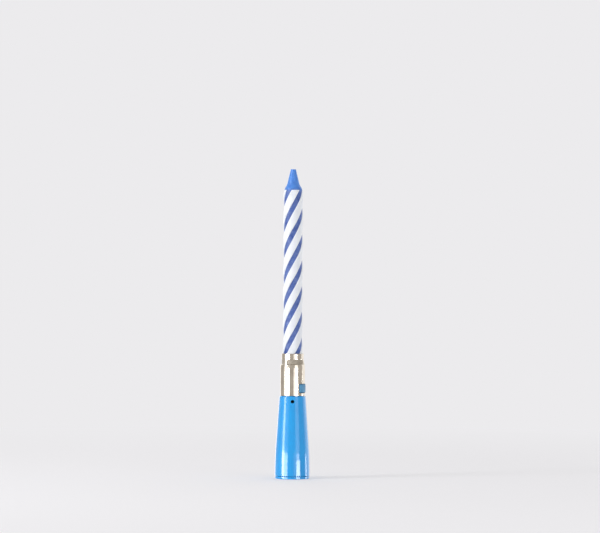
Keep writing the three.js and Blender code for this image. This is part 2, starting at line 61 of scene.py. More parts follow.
MILLIMETRE = 0.001
FINE_SIDES = 160
SMALL_SIDES = 48
TINY_SIDES = 24
WIRE_SIDES = 16
ROUND_STEPS = 6
DOME_STEPS = 14
PATH_STEPS = 12
ASKEW = (0.31, 0.87, 0.38)
SHARP_ANGLE = math.radians(32)
WELD_DIGITS = 6
MIX_INPUTS = (0, 6, 7)
MIX_RESULT = 2
X, Y, Z = range(3)


class Body(Enum):
    """The frame's bodies, by the name that a piece rides on."""

    BASE = "base"
    SHELL = "shell"
    TAB = "tab"
    CANDLE = "candle"


class Ends(Enum):
    """How the first and last rows of a skin are closed."""

    JOINED = "the last row joins the first"
    POLES = "each end closes in a point"
    FOLDED = "each end closes straight across its outline"


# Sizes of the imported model, in millimetres


def low_of(node: str, axis: int) -> float:
    """Where a CAD node starts along an axis."""
    return round(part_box(node)[0][axis] / MILLIMETRE, WELD_DIGITS)


def high_of(node: str, axis: int) -> float:
    """Where a CAD node ends along an axis."""
    return round(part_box(node)[1][axis] / MILLIMETRE, WELD_DIGITS)


# Shapes


@dataclass
class Shape:
    """A closed surface in millimetres.

    points holds one row for each corner, faces the quads and triangles between them, and marks
    one value for each corner under the name by which a finish reads it.
    """

    points: Array
    faces: list[Array]
    marks: dict[str, Array] = field(default_factory=dict)

    def moved(self, x: float = 0.0, y: float = 0.0, z: float = 0.0) -> "Shape":
        """The same shape, shifted."""
        return Shape(self.points + np.array([x, y, z]), self.faces, self.marks)

    def turned(self, turn: float) -> "Shape":
        """The same shape, turned about Z.

        Args:
            turn: The angle, which takes the front (-Y) towards +X.

        Returns:
            The turned shape.
        """
        cos, sin = math.cos(turn), math.sin(turn)
        spin = np.array([[cos, -sin, 0.0], [sin, cos, 0.0], [0.0, 0.0, 1.0]])
        return Shape(self.points @ spin.T, self.faces, self.marks)

    def laid_back(self) -> "Shape":
        """The same shape with its own +Z pointing to the front, -Y."""
        x, y, z = self.points.T
        return Shape(np.stack([x, -z, y], axis=1), self.faces, self.marks)


def joined(shapes: list[Shape]) -> Shape:
    """Several shapes as the parts of one.

    Args:
        shapes: The shapes, each closed in itself.

    Returns:
        One shape that holds them all.
    """
    starts = np.cumsum([0] + [len(shape.points) for shape in shapes])
    faces = [part + start for shape, start in zip(shapes, starts) for part in shape.faces]
    return Shape(np.concatenate([shape.points for shape in shapes]), faces)


def direction(vectors: Array) -> Array:
    """Vectors of length one, or zero where a vector has no length."""
    length = np.linalg.norm(vectors, axis=-1, keepdims=True)
    return vectors / np.where(length > 0, length, 1.0)


def smooth(value: Array, low: float, high: float) -> Array:
    """The rise 3t² - 2t³, where t goes from 0 to 1 as value goes from low to high."""
    share = np.clip((value - low) / (high - low), 0.0, 1.0)
    return share * share * (3 - 2 * share)


def circle(sides: int) -> Array:
    """Even turns once round, the last a step short of the first."""
    return np.linspace(0.0, 2 * math.pi, sides, endpoint=False)


def quarter(steps: int) -> Array:
    """Even turns over a quarter of a circle."""
    return np.linspace(0.0, math.pi / 2, steps)


def polar(radius: float | Array, turn: float | Array, height: float | Array) -> Array:
    """Points round the candle's axis: (r sin a, -r cos a, z) for radius r, turn a, height z."""
    return np.stack([radius * np.sin(turn), -radius * np.cos(turn), height + 0 * turn], axis=-1)


def rounded(corners: list[tuple[float, float, float]], closed: bool = False) -> Array:
    """An outline whose corners are rounded.

    A corner C becomes the arc (1-t)²A + 2t(1-t)C + t²B, where A and B lie on its two edges, as
    far from C as its rounding.

    Args:
        corners: The outline's corners, each with its rounding, which may be zero.
        closed: Whether the last corner is followed by the first.

    Returns:
        The outline's points, one row each.
    """
    table = np.asarray(corners, dtype=float)
    spots, rounding = table[:, :2], table[:, 2:]
    before, after = np.roll(spots, 1, axis=0), np.roll(spots, -1, axis=0)
    if not closed:
        before[0], after[-1] = spots[0], spots[-1]
    start = spots + rounding * direction(before - spots)
    end = spots + rounding * direction(after - spots)
    t = np.linspace(0.0, 1.0, ROUND_STEPS + 1)[None, :, None]
    arcs = (1 - t) ** 2 * start[:, None] + 2 * t * (1 - t) * spots[:, None] + t**2 * end[:, None]
    outline = arcs.reshape(-1, 2)
    step = np.linalg.norm(outline - np.roll(outline, 1, axis=0), axis=1)
    kept = np.round(step, WELD_DIGITS) > 0
    kept[0] = kept[0] or not closed
    return outline[kept]


def skin(rows: Array, ends: Ends, poles: Array | None = None) -> Shape:
    """Closed rings of points, one above the other, joined into a surface.

    Args:
        rows: The points, as (row, side, xyz), with the sides anticlockwise seen from the last row.
        ends: How the first and the last row are closed.
        poles: The two points that close the ends, for Ends.POLES.

    Returns:
        The surface.
    """
    count, sides = rows.shape[:2]
    starts = np.arange(count if ends is Ends.JOINED else count - 1)
    row, side = np.meshgrid(starts, np.arange(sides), indexing="ij")
    after, above = (side + 1) % sides, (row + 1) % count
    corners = [row * sides + side, row * sides + after, above * sides + after, above * sides + side]
    faces = [np.stack(corners, axis=-1).reshape(-1, 4)]
    points = rows.reshape(-1, 3)
    last = (count - 1) * sides
    around = np.arange(sides)
    following = (around + 1) % sides
    if ends is Ends.POLES:
        foot = np.full(sides, len(points))
        faces.append(np.stack([following, around, foot], axis=-1))
        faces.append(np.stack([last + around, last + following, foot + 1], axis=-1))
        points = np.concatenate([points, poles])
    if ends is Ends.FOLDED:
        near = np.arange(sides // 2 - 1)
        strip = np.stack([near, sides - 1 - near, sides - 2 - near, near + 1], axis=-1)
        faces += [strip, last + strip[:, ::-1]]
    return Shape(points, faces)


def lathe(profile: Array, sides: int = FINE_SIDES, closed: bool = False) -> Shape:
    """A profile turned about Z: (r, z) goes to (r sin a, -r cos a, z) for every turn a.

    Args:
        profile: Points of radius and height, from the foot outwards, up and back in.
        sides: How many flats go round.
        closed: Whether the profile closes on itself. Otherwise its ends lie on the axis.

    Returns:
        The turned surface.
    """
    body = profile if closed else profile[1:-1]
    rows = polar(body[:, :1], circle(sides), body[:, 1:])
    if closed:
        return skin(rows, Ends.JOINED)
    poles = np.array([[0.0, 0.0, profile[0, 1]], [0.0, 0.0, profile[-1, 1]]])
    return skin(rows, Ends.POLES, poles)


def disc(radius: float, foot: float, top: float, rounding: float, sides: int = FINE_SIDES) -> Shape:
    """A disc or rod between two heights, with rounded edges."""
    corners = [(0, foot, 0), (radius, foot, rounding), (radius, top, rounding), (0, top, 0)]
    return lathe(rounded(corners), sides)


def rod(path: Array, radius: float | Array, sides: int = WIRE_SIDES) -> Shape:
    """A round rod along a path.

    Ring k is P + r (cos a U + sin a V), where U and V stand square to the path at its point P.

    Args:
        path: The path's points.
        radius: The rod's radius, or one radius for each point.
        sides: How many flats go round.

    Returns:
        The rod, closed in a point at each end.
    """
    along = direction(np.gradient(path, axis=0))
    first = direction(np.cross(np.array(ASKEW), along))
    second = np.cross(along, first)
    turns = circle(sides)[None, :, None]
    reach = np.broadcast_to(radius, len(path))[:, None, None]
    ring = np.cos(turns) * first[:, None] + np.sin(turns) * second[:, None]
    return skin(path[:, None] + reach * ring, Ends.POLES, path[[0, -1]])


def through(spots: list[Spot]) -> Array:
    """A smooth path through chosen spots, as a Catmull-Rom curve.

    Between spots B and C, with A before and D after, its point at t is
    B + t(C-A)/2 + t²(A - 5B/2 + 2C - D/2) + t³(3(B-C) + D - A)/2.

    Args:
        spots: The spots, in order.

    Returns:
        The path's points, one row each.
    """
    table = np.asarray(spots, dtype=float)
    ends = np.concatenate([2 * table[:1] - table[1:2], table, 2 * table[-1:] - table[-2:-1]])
    a, b, c, d = (ends[k : len(ends) - 3 + k, None] for k in range(4))
    t = np.linspace(0.0, 1.0, PATH_STEPS, endpoint=False)[None, :, None]
    curve = b + t * (c - a) / 2 + t**2 * (a - 2.5 * b + 2 * c - d / 2)
    curve = curve + t**3 * (3 * (b - c) + d - a) / 2
    return np.concatenate([curve.reshape(-1, 3), table[-1:]])


def block(
    low: Spot, high: Spot, rounding: float, steps: tuple[int, int, int] = (1, 1, 1)
) -> Shape:
    """A block with rounded edges.

    A point P of the plain block moves to Q + r (P-Q)/|P-Q|, where Q is the point nearest to P in
    the block drawn in by r. Near an edge the points lie r tan(a) apart from where it bends.

    Args:
        low: The lowest corner.
        high: The highest corner.
        rounding: The radius r of the edges.
        steps: How many strips cross the flat part, along each axis.

    Returns:
        The block.
    """
    low, high = np.asarray(low, dtype=float), np.asarray(high, dtype=float)
    bend = rounding * np.tan(np.linspace(math.pi / 4, 0.0, ROUND_STEPS // 2 + 1))
    ticks = [
        np.concatenate([
            start + rounding - bend,
            np.linspace(start + rounding, end - rounding, count + 1)[1:-1],
            end - rounding + bend[::-1],
        ])
        for start, end, count in zip(low, high, steps)
    ]
    sheets = []
    for axis in range(3):
        first, second = (axis + 1) % 3, (axis + 2) % 3
        for level, outward in ((low[axis], False), (high[axis], True)):
            across, along = np.meshgrid(ticks[first], ticks[second], indexing="ij")
            sheet = np.full(across.shape + (3,), level)
            sheet[..., first], sheet[..., second] = across, along
            index = np.arange(across.size).reshape(across.shape)
            quad = [index[:-1, :-1], index[1:, :-1], index[1:, 1:], index[:-1, 1:]]
            quads = np.stack(quad if outward else quad[::-1], axis=-1).reshape(-1, 4)
            sheets.append(Shape(sheet.reshape(-1, 3), [quads]))
    whole = joined(sheets)
    rough = np.round(whole.points, WELD_DIGITS)
    points, place = np.unique(rough, axis=0, return_inverse=True)
    core = np.clip(points, low + rounding, high - rounding)
    eased = core + rounding * direction(points - core)
    return Shape(eased, [place.reshape(-1)[quads] for quads in whole.faces])


def crowned(shape: Shape) -> Shape:
    """A block of (width, radius, height) laid on its radius: y becomes -√(radius² - width²).

    Args:
        shape: The block, with its outward side at +Y.

    Returns:
        The bent block, with its outward side at -Y.
    """
    width, radius, height = shape.points.T
    depth = -np.sqrt(radius**2 - width**2)
    faces = [part[:, ::-1] for part in shape.faces]
    return Shape(np.stack([width, depth, height], axis=1), faces)


# Objects


def new_object(name: str, shape: Shape) -> bpy.types.Object:
    """Puts a shape into the scene, in metres.

    Args:
        name: The object's name.
        shape: Its surface. Each of its marks becomes an attribute of its points.

    Returns:
        The object.
    """
    mesh = bpy.data.meshes.new(name)
    faces = [face for part in shape.faces for face in part.tolist()]
    mesh.from_pydata((shape.points * MILLIMETRE).tolist(), [], faces)
    for mark, values in shape.marks.items():
        layer = mesh.attributes.new(mark, "FLOAT", "POINT")
        layer.data.foreach_set("value", np.asarray(values, dtype=np.float32))
    piece = bpy.data.objects.new(name, mesh)
    bpy.context.scene.collection.objects.link(piece)
    return piece


def carve(piece: bpy.types.Object, cutter: Shape) -> None:
    """Takes a closed shape out of a piece.

    Args:
        piece: The piece.
        cutter: The shape that is taken out.
    """
    tool = new_object("cutter", cutter)
    cut = piece.modifiers.new("cut", "BOOLEAN")
    cut.operation, cut.solver, cut.object = "DIFFERENCE", "EXACT", tool
    graph = bpy.context.evaluated_depsgraph_get()
    carved = bpy.data.meshes.new_from_object(piece.evaluated_get(graph))
    whole = piece.data
    piece.modifiers.clear()
    piece.data = carved
    carved.name = piece.name
    bpy.data.meshes.remove(whole)
    bpy.data.meshes.remove(tool.data)


def fit(
    piece: bpy.types.Object, finish: bpy.types.Material, body: Body, slot: str, *nodes: str
) -> None:
    """Finishes a piece: its material, its body and the CAD nodes that it stands for.

    Args:
        piece: The piece, in place.
        finish: Its material.
        body: The body that it rides on.
        slot: The record's material slot; not used.
        nodes: The CAD nodes that it replaces.
    """
    mesh = piece.data
    mesh.materials.clear()
    mesh.materials.append(finish)
    mesh.shade_smooth()
    mesh.set_sharp_from_angle(angle=SHARP_ANGLE)
    if nodes:
        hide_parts(*nodes)
    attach(piece, body.value)
    LOG.info("%s rides on %s, %d faces", piece.name, body.value, len(mesh.polygons))


def dress(
    name: str, shape: Shape, finish: bpy.types.Material, body: Body, slot: str, *nodes: str
) -> None:
    """Puts a shape into the scene as a piece that needs no carving, and finishes it.

    Args:
        name: The piece's name.
        shape: Its surface.
        finish: Its material.
        body: The body that it rides on.
        slot: The record's material slot, passed on to fit, which does not use it.
        nodes: The CAD nodes that it replaces.
    """
    fit(new_object(name, shape), finish, body, slot, *nodes)


# Finishes


def tint(code: str) -> Colour:
    """The linear colour of an sRGB code.

    A channel c becomes c / 12.92 up to 0.04045, and ((c + 0.055) / 1.055) to the 2.4 above.

    Args:
        code: The six digits of the code.

    Returns:
        The colour, opaque.
    """
    channels = [int(code[k : k + 2], 16) / 255 for k in (0, 2, 4)]
    linear = [c / 12.92 if c <= 0.04045 else ((c + 0.055) / 1.055) ** 2.4 for c in channels]
    return (*linear, 1.0)


class Tree:
    """A node tree that nodes are added to and wired in one call."""

    def __init__(self, tree: bpy.types.NodeTree) -> None:
        """Starts to work on a node tree."""
        self.tree = tree
        self.nodes = tree.nodes

    def add(self, kind: str, settings: dict | None = None, **inputs: object) -> bpy.types.Node:
        """Adds a node.

        Args:
            kind: The node's type, without its ShaderNode prefix.
            settings: The node's own properties.
            inputs: A value or another node's output for each input, _ standing for a space.

        Returns:
            The node.
        """
        node = self.nodes.new("ShaderNode" + kind)
        for name, value in (settings or {}).items():
            setattr(node, name, value)
        for name, value in inputs.items():
            self.feed(node.inputs[name.replace("_", " ")], value)
        return node

    def feed(self, socket: Socket, value: object) -> None:
        """Gives an input its value.

        Args:
            socket: The input.
            value: Another node's output to link, or a number or colour to set.
        """
        if isinstance(value, bpy.types.NodeSocket):
            self.tree.links.new(value, socket)
        else:
            socket.default_value = value

    def place(self, stretch: Spot = (1, 1, 1)) -> Socket:
        """Object coordinates in millimetres.

        Args:
            stretch: A factor along each axis. Below one it draws features out along the axis.

        Returns:
            The coordinates.
        """
        spot = self.add("TexCoord").outputs["Object"]
        scale = tuple(factor / MILLIMETRE for factor in stretch)
        return self.add("Mapping", Vector=spot, Scale=scale).outputs[0]

    def noise(self, spot: Socket, scale: object, detail: float) -> Socket:
        """Smooth noise with scale features in each millimetre."""
        return self.add("TexNoise", Vector=spot, Scale=scale, Detail=detail).outputs[0]

    def span(self, value: object, low: float, high: float, start: object, end: object) -> Socket:
        """A value taken from one range to another, and held at the ends.

        Args:
            value: The value.
            low: Where its range starts.
            high: Where its range ends.
            start: What low becomes.
            end: What high becomes.

        Returns:
            The new value.
        """
        inputs = {"From Min": low, "From Max": high, "To Min": start, "To Max": end}
        node = self.add("MapRange", Value=value)
        for name, given in inputs.items():
            self.feed(node.inputs[name], given)
        return node.outputs[0]

    def calc(self, operation: str, *values: object) -> Socket:
        """One operation on numbers.

        Args:
            operation: The Math node's name for it.
            values: The numbers, each a value or an output.

        Returns:
            The result.
        """
        node = self.add("Math", {"operation": operation})
        for socket, value in zip(node.inputs, values):
            self.feed(socket, value)
        return node.outputs[0]

    def blend(self, factor: object, first: object, second: object) -> Socket:
        """A mix of two colours.

        Args:
            factor: How much of the second there is, 0 to 1.
            first: The first colour.
            second: The second colour.

        Returns:
            The mixed colour.
        """
        node = self.add("Mix", {"data_type": "RGBA"})
        for index, value in zip(MIX_INPUTS, (factor, first, second)):
            self.feed(node.inputs[index], value)
        return node.outputs[MIX_RESULT]

    def mark(self, name: str) -> Socket:
        """The values that a shape carries under a name."""
        return self.add("Attribute", {"attribute_name": name}).outputs["Fac"]


def effect_group(name: str, inputs: dict[str, object], output: str, kind: str) -> Tree:
    """Starts a node group.

    Args:
        name: The group's name.
        inputs: Its inputs, each with a number or a colour to start from.
        output: The name of its output.
        kind: The output's socket type, without its NodeSocket prefix.

    Returns:
        The group's tree, with its input and output nodes under the names in and out.
    """
    group = bpy.data.node_groups.new(name, "ShaderNodeTree")
    for label, value in inputs.items():
        sort = "NodeSocketColor" if isinstance(value, tuple) else "NodeSocketFloat"
        socket = group.interface.new_socket(label, in_out="INPUT", socket_type=sort)
        socket.default_value = value
    group.interface.new_socket(output, in_out="OUTPUT", socket_type="NodeSocket" + kind)
    group.nodes.new("NodeGroupInput").name = "in"
    group.nodes.new("NodeGroupOutput").name = "out"
    return Tree(group)


@dataclass(frozen=True)
class Clouds:
    """Colour that drifts between two shades, as moulded plastic or wax does.

    Coarse noise of the given scale and finer noise are mixed, and the mix is spread from low to
    high over the two shades.
    """

    detail: float = 3.0
    fine_factor: float = 6.0
    fine_detail: float = 2.0
    fine_share: float = 0.3
    low: float = 0.36
    high: float = 0.64

    def group(self) -> bpy.types.NodeTree:
        """Builds the effect.

        Returns:
            Its node group.
        """
        shades = {"First": tint("808080"), "Second": tint("707070"), "Scale": 0.4, "Depth": 1.0}
        tree = effect_group("drifting colour", shades, "Colour", "Color")
        given = tree.nodes["in"].outputs
        coarse = tree.noise(tree.place(), given["Scale"], self.detail)
        place = tree.place()
        scale = tree.calc("MULTIPLY", given["Scale"], self.fine_factor)
        fine = tree.noise(place, scale, self.fine_detail)
        coarse = tree.calc("MULTIPLY", coarse, 1 - self.fine_share)
        both = tree.calc("ADD", coarse, tree.calc("MULTIPLY", fine, self.fine_share))
        spread = tree.span(both, self.low, self.high, 0.0, 1.0)
        share = tree.calc("MULTIPLY", spread, given["Depth"])
        colour = tree.blend(share, given["First"], given["Second"])
        tree.feed(tree.nodes["out"].inputs["Colour"], colour)
        return tree.tree


@dataclass(frozen=True)
class Marks:
    """Roughness with soft smudges, and fine scratches that run upright and level.

    A scratch is noise drawn out along its way, where it passes a threshold.
    """

    smudge_detail: float = 4.0
    smudge_from: float = 0.35
    smudge_to: float = 0.7
    duller: float = -0.5
    rougher: float = 0.6
    upright_stretch: Spot = (1.0, 1.0, 0.06)
    upright_factor: float = 14.0
    upright_from: float = 0.62
    level_stretch: Spot = (0.1, 0.1, 1.0)
    level_factor: float = 11.0
    level_from: float = 0.64
    scratch_rise: float = 0.08
    scratch_share: float = 0.5

    def scratches(self, tree: Tree, stretch: Spot, scale: Socket, factor: float) -> Socket:
        """The noise for scratches that run one way.

        Args:
            tree: The effect's tree.
            stretch: How the noise is drawn out.
            scale: The effect's scale.
            factor: How many times finer the scratches are.

        Returns:
            The noise.
        """
        place = tree.place(stretch)
        return tree.noise(place, tree.calc("MULTIPLY", scale, factor), 1.0)

    def group(self) -> bpy.types.NodeTree:
        """Builds the effect.

        Returns:
            Its node group.
        """
        values = {"Roughness": 0.3, "Spread": 0.1, "Scale": 0.5}
        tree = effect_group("handling marks", values, "Roughness", "Float")
        given = tree.nodes["in"].outputs
        scale = given["Scale"]
        smudge = tree.noise(tree.place(), scale, self.smudge_detail)
        upright = self.scratches(tree, self.upright_stretch, scale, self.upright_factor)
        level = self.scratches(tree, self.level_stretch, scale, self.level_factor)
        scratches = [
            tree.span(noise, start, start + self.scratch_rise, 0.0, 1.0)
            for noise, start in ((upright, self.upright_from), (level, self.level_from))
        ]
        scratch = tree.calc("MAXIMUM", *scratches)
        dull = tree.span(smudge, self.smudge_from, self.smudge_to, self.duller, self.rougher)
        both = tree.calc("ADD", dull, tree.calc("MULTIPLY", scratch, self.scratch_share))
        change = tree.calc("MULTIPLY", both, given["Spread"])
        rough = tree.calc("ADD", given["Roughness"], change)
        tree.feed(tree.nodes["out"].inputs["Roughness"], rough)
        return tree.tree


@dataclass(frozen=True)
class Grain:
    """A bumped normal: an even fine grain over soft dents, Depth in millimetres."""

    detail: float = 3.0
    share: float = 0.4
    dent_factor: float = 0.15
    dent_detail: float = 2.0

    def group(self) -> bpy.types.NodeTree:
        """Builds the effect.

        Returns:
            Its node group.
        """
        values = {"Scale": 4.0, "Depth": 0.01}
        tree = effect_group("surface grain", values, "Normal", "Vector")
        given = tree.nodes["in"].outputs
        fine = tree.noise(tree.place(), given["Scale"], self.detail)
        place = tree.place()
        scale = tree.calc("MULTIPLY", given["Scale"], self.dent_factor)
        dents = tree.noise(place, scale, self.dent_detail)
        height = tree.calc("ADD", tree.calc("MULTIPLY", fine, self.share), dents)
        metres = tree.calc("MULTIPLY", given["Depth"], MILLIMETRE)
        bump = tree.add("Bump", Height=height, Distance=metres)
        tree.feed(tree.nodes["out"].inputs["Normal"], bump.outputs[0])
        return tree.tree


class Effect(Enum):
    """Surface effects that the finishes share, each a node group built once."""

    CLOUDS = Clouds().group()
    MARKS = Marks().group()
    GRAIN = Grain().group()


@dataclass(frozen=True)
class Finish:
    """A surface finish.

    Its colour drifts from first to second in clouds, with clouds of them in each millimetre. Its
    roughness has smudges and scratches of the given spread, and its grain has grain features in
    each millimetre, grain_depth deep. steady holds the shader's values that are alike all over.
    """

    name: str
    first: Colour
    second: Colour
    clouds: float = 0.4
    roughness: float = 0.35
    spread: float = 0.12
    marks: float = 0.5
    grain: float = 5.0
    grain_depth: float = 0.01
    steady: tuple[tuple[str, object], ...] = ()

    def effect(self, tree: Tree, effect: Effect, **inputs: object) -> Socket:
        """Places one of the shared effects.

        Args:
            tree: The material's tree.
            effect: The effect.
            inputs: Its values.

        Returns:
            What the effect puts out.
        """
        node = tree.nodes.new("ShaderNodeGroup")
        node.node_tree = effect.value
        for name, value in inputs.items():
            tree.feed(node.inputs[name], value)
        return node.outputs[0]

    def colour(self, tree: Tree) -> Socket:
        """The colour over the surface."""
        shades = {"First": self.first, "Second": self.second}
        return self.effect(tree, Effect.CLOUDS, Scale=self.clouds, **shades)

    def rough(self, tree: Tree) -> Socket:
        """The roughness over the surface."""
        values = {"Roughness": self.roughness, "Spread": self.spread}
        return self.effect(tree, Effect.MARKS, Scale=self.marks, **values)

    def normal(self, tree: Tree) -> Socket:
        """The bumped normal over the surface."""
        return self.effect(tree, Effect.GRAIN, Scale=self.grain, Depth=self.grain_depth)

    def material(self) -> bpy.types.Material:
        """Builds the material.

        Returns:
            The material.
        """
        material = bpy.data.materials.new(self.name)
        material.use_nodes = True
        tree = Tree(material.node_tree)
        shader = tree.nodes["Principled BSDF"]
        tree.feed(shader.inputs["Base Color"], self.colour(tree))
        tree.feed(shader.inputs["Roughness"], self.rough(tree))
        tree.feed(shader.inputs["Normal"], self.normal(tree))
        for name, value in self.steady:
            shader.inputs[name].default_value = value
        material.diffuse_color = self.first
        return material

    @classmethod
    def made(cls, name: str, first: str, second: str, **values: object) -> bpy.types.Material:
        """Builds a material with this kind of finish.

        Args:
            name: The material's name.
            first: The sRGB code of its first shade.
            second: The sRGB code of its second shade.
            values: The finish's other values.

        Returns:
            The material.
        """
        return cls(name, tint(first), tint(second), **values).material()


@dataclass(frozen=True)
class SocketSteel(Finish):
    """Plated sheet: drawn lines along the sleeve, rough in the crimps, where the colour is darkened
    to grey as painted shade.
    """

    # painted shade: the darker grey that the crimps are painted, standing in for their dim
    # reflection
    painted_crimp_shade: Colour = tint("b0aaa0")
    scuffed_roughness: float = 0.66
    drawn_stretch: Spot = (1.0, 1.0, 0.05)
    drawn_scale: float = 9.0
    drawn_detail: float = 2.0
    drawn_from: float = 0.4
    drawn_to: float = 0.7
    drawn_roughness: float = 0.045

    def colour(self, tree: Tree) -> Socket:
        """Plate darkened to grey in the crimps: painted shade for the dents' dim reflection."""
        return tree.blend(tree.mark("crimp"), super().colour(tree), self.painted_crimp_shade)

    def rough(self, tree: Tree) -> Socket:
        """The roughness: bright drawn plate, rough in the crimps.

        Args:
            tree: The material's tree.

        Returns:
            The roughness over the surface.
        """
        drawn = tree.noise(tree.place(self.drawn_stretch), self.drawn_scale, self.drawn_detail)
        plate = super().rough(tree)
        lines = tree.span(drawn, self.drawn_from, self.drawn_to, 0.0, self.drawn_roughness)
        bright = tree.calc("ADD", plate, lines)
        return tree.span(tree.mark("crimp"), 0.0, 1.0, bright, self.scuffed_roughness)


@dataclass(frozen=True)
class BlueWax(Finish):
    """Dyed wax: frosted and violet between the bands, clear blue where the end was cut."""

    cut: Colour = tint("4177c6")
    cut_shade: Colour = tint("4e88d6")
    cut_clouds: float = 0.5
    frost: Colour = tint("8292bd")
    frost_stretch: Spot = (1.0, 1.0, 0.7)
    frost_scale: float = 1.6
    frost_detail: float = 4.0
    frost_from: float = 0.55
    frost_to: float = 0.72
    frost_share: float = 0.42

    def colour(self, tree: Tree) -> Socket:
        """The colour: the grooves' frosted blue, and the cut end's clear blue.

        Args:
            tree: The material's tree.

        Returns:
            The colour over the surface.
        """
        noise = tree.noise(tree.place(self.frost_stretch), self.frost_scale, self.frost_detail)
        patches = tree.span(noise, self.frost_from, self.frost_to, 0.0, self.frost_share)
        grooves = tree.blend(patches, super().colour(tree), self.frost)
        shades = {"First": self.cut, "Second": self.cut_shade}
        end = self.effect(tree, Effect.CLOUDS, Scale=self.cut_clouds, **shades)
        return tree.blend(tree.mark("cut"), grooves, end)


@dataclass(frozen=True)
class BandedLacquer(Finish):
    """Resistor lacquer with its colour rings, at shares of the body's height."""

    foot: float = 0.0
    top: float = 1.0
    rings: tuple[tuple[float, str], ...] = ()
    ring_share: float = 0.09
    ring_blur: float = 0.01

    def colour(self, tree: Tree) -> Socket:
        """The colour: lacquer under rings of paint.

        Args:
            tree: The material's tree.

        Returns:
            The colour over the surface.
        """
        height = tree.add("SeparateXYZ", Vector=tree.place()).outputs["Z"]
        share = tree.span(height, self.foot, self.top, 0.0, 1.0)
        paint = super().colour(tree)
        half = self.ring_share / 2
        for middle, code in self.rings:
            offset = tree.calc("ABSOLUTE", tree.calc("SUBTRACT", share, middle))
            inside = tree.span(offset, half, half - self.ring_blur, 0.0, 1.0)
            paint = tree.blend(inside, paint, tint(code))
        return paint


@dataclass(frozen=True)
class Braid(Finish):
    """Braided cotton: two sets of strands that cross at a slant."""

    wave_scale: float = 7.0 / 6.0
    slant: float = 0.55

    def normal(self, tree: Tree) -> Socket:
        """The bumped normal: strands raised by two crossing waves.

        Args:
            tree: The material's tree.

        Returns:
            The normal over the surface.
        """
        heights = []
        for lean in (self.slant, -self.slant):
            spot = tree.add("Mapping", Vector=tree.place(), Rotation=(lean, lean, 0.0)).outputs[0]
            wave = tree.add("TexWave", {"bands_direction": "Z"}, Vector=spot, Scale=self.wave_scale)
            heights.append(wave.outputs["Fac"])
        weave = tree.calc("MAXIMUM", *heights)
        bump = tree.add("Bump", Height=weave, Distance=self.grain_depth * MILLIMETRE)
        return bump.outputs[0]


GLOSS = (
    ("IOR", 1.5), ("Specular IOR Level", 0.25), ("Coat Weight", 1.0), ("Coat Roughness", 0.05),
)
WAXY = (
    ("IOR", 1.44), ("Subsurface Weight", 0.25), ("Subsurface Scale", 0.0012),
    ("Subsurface Radius", (1.0, 0.9, 0.8)),
)
METAL = (("Metallic", 1.0),)
SILVER = (("Metallic", 0.75),)
CLEAR = (("Transmission Weight", 1.0), ("IOR", 1.49))
MILKY = (("Transmission Weight", 0.45), ("IOR", 1.49))
MOULDED = (("Subsurface Weight", 0.15), ("Subsurface Scale", 0.0008))
GLASSY = (("IOR", 1.55),)


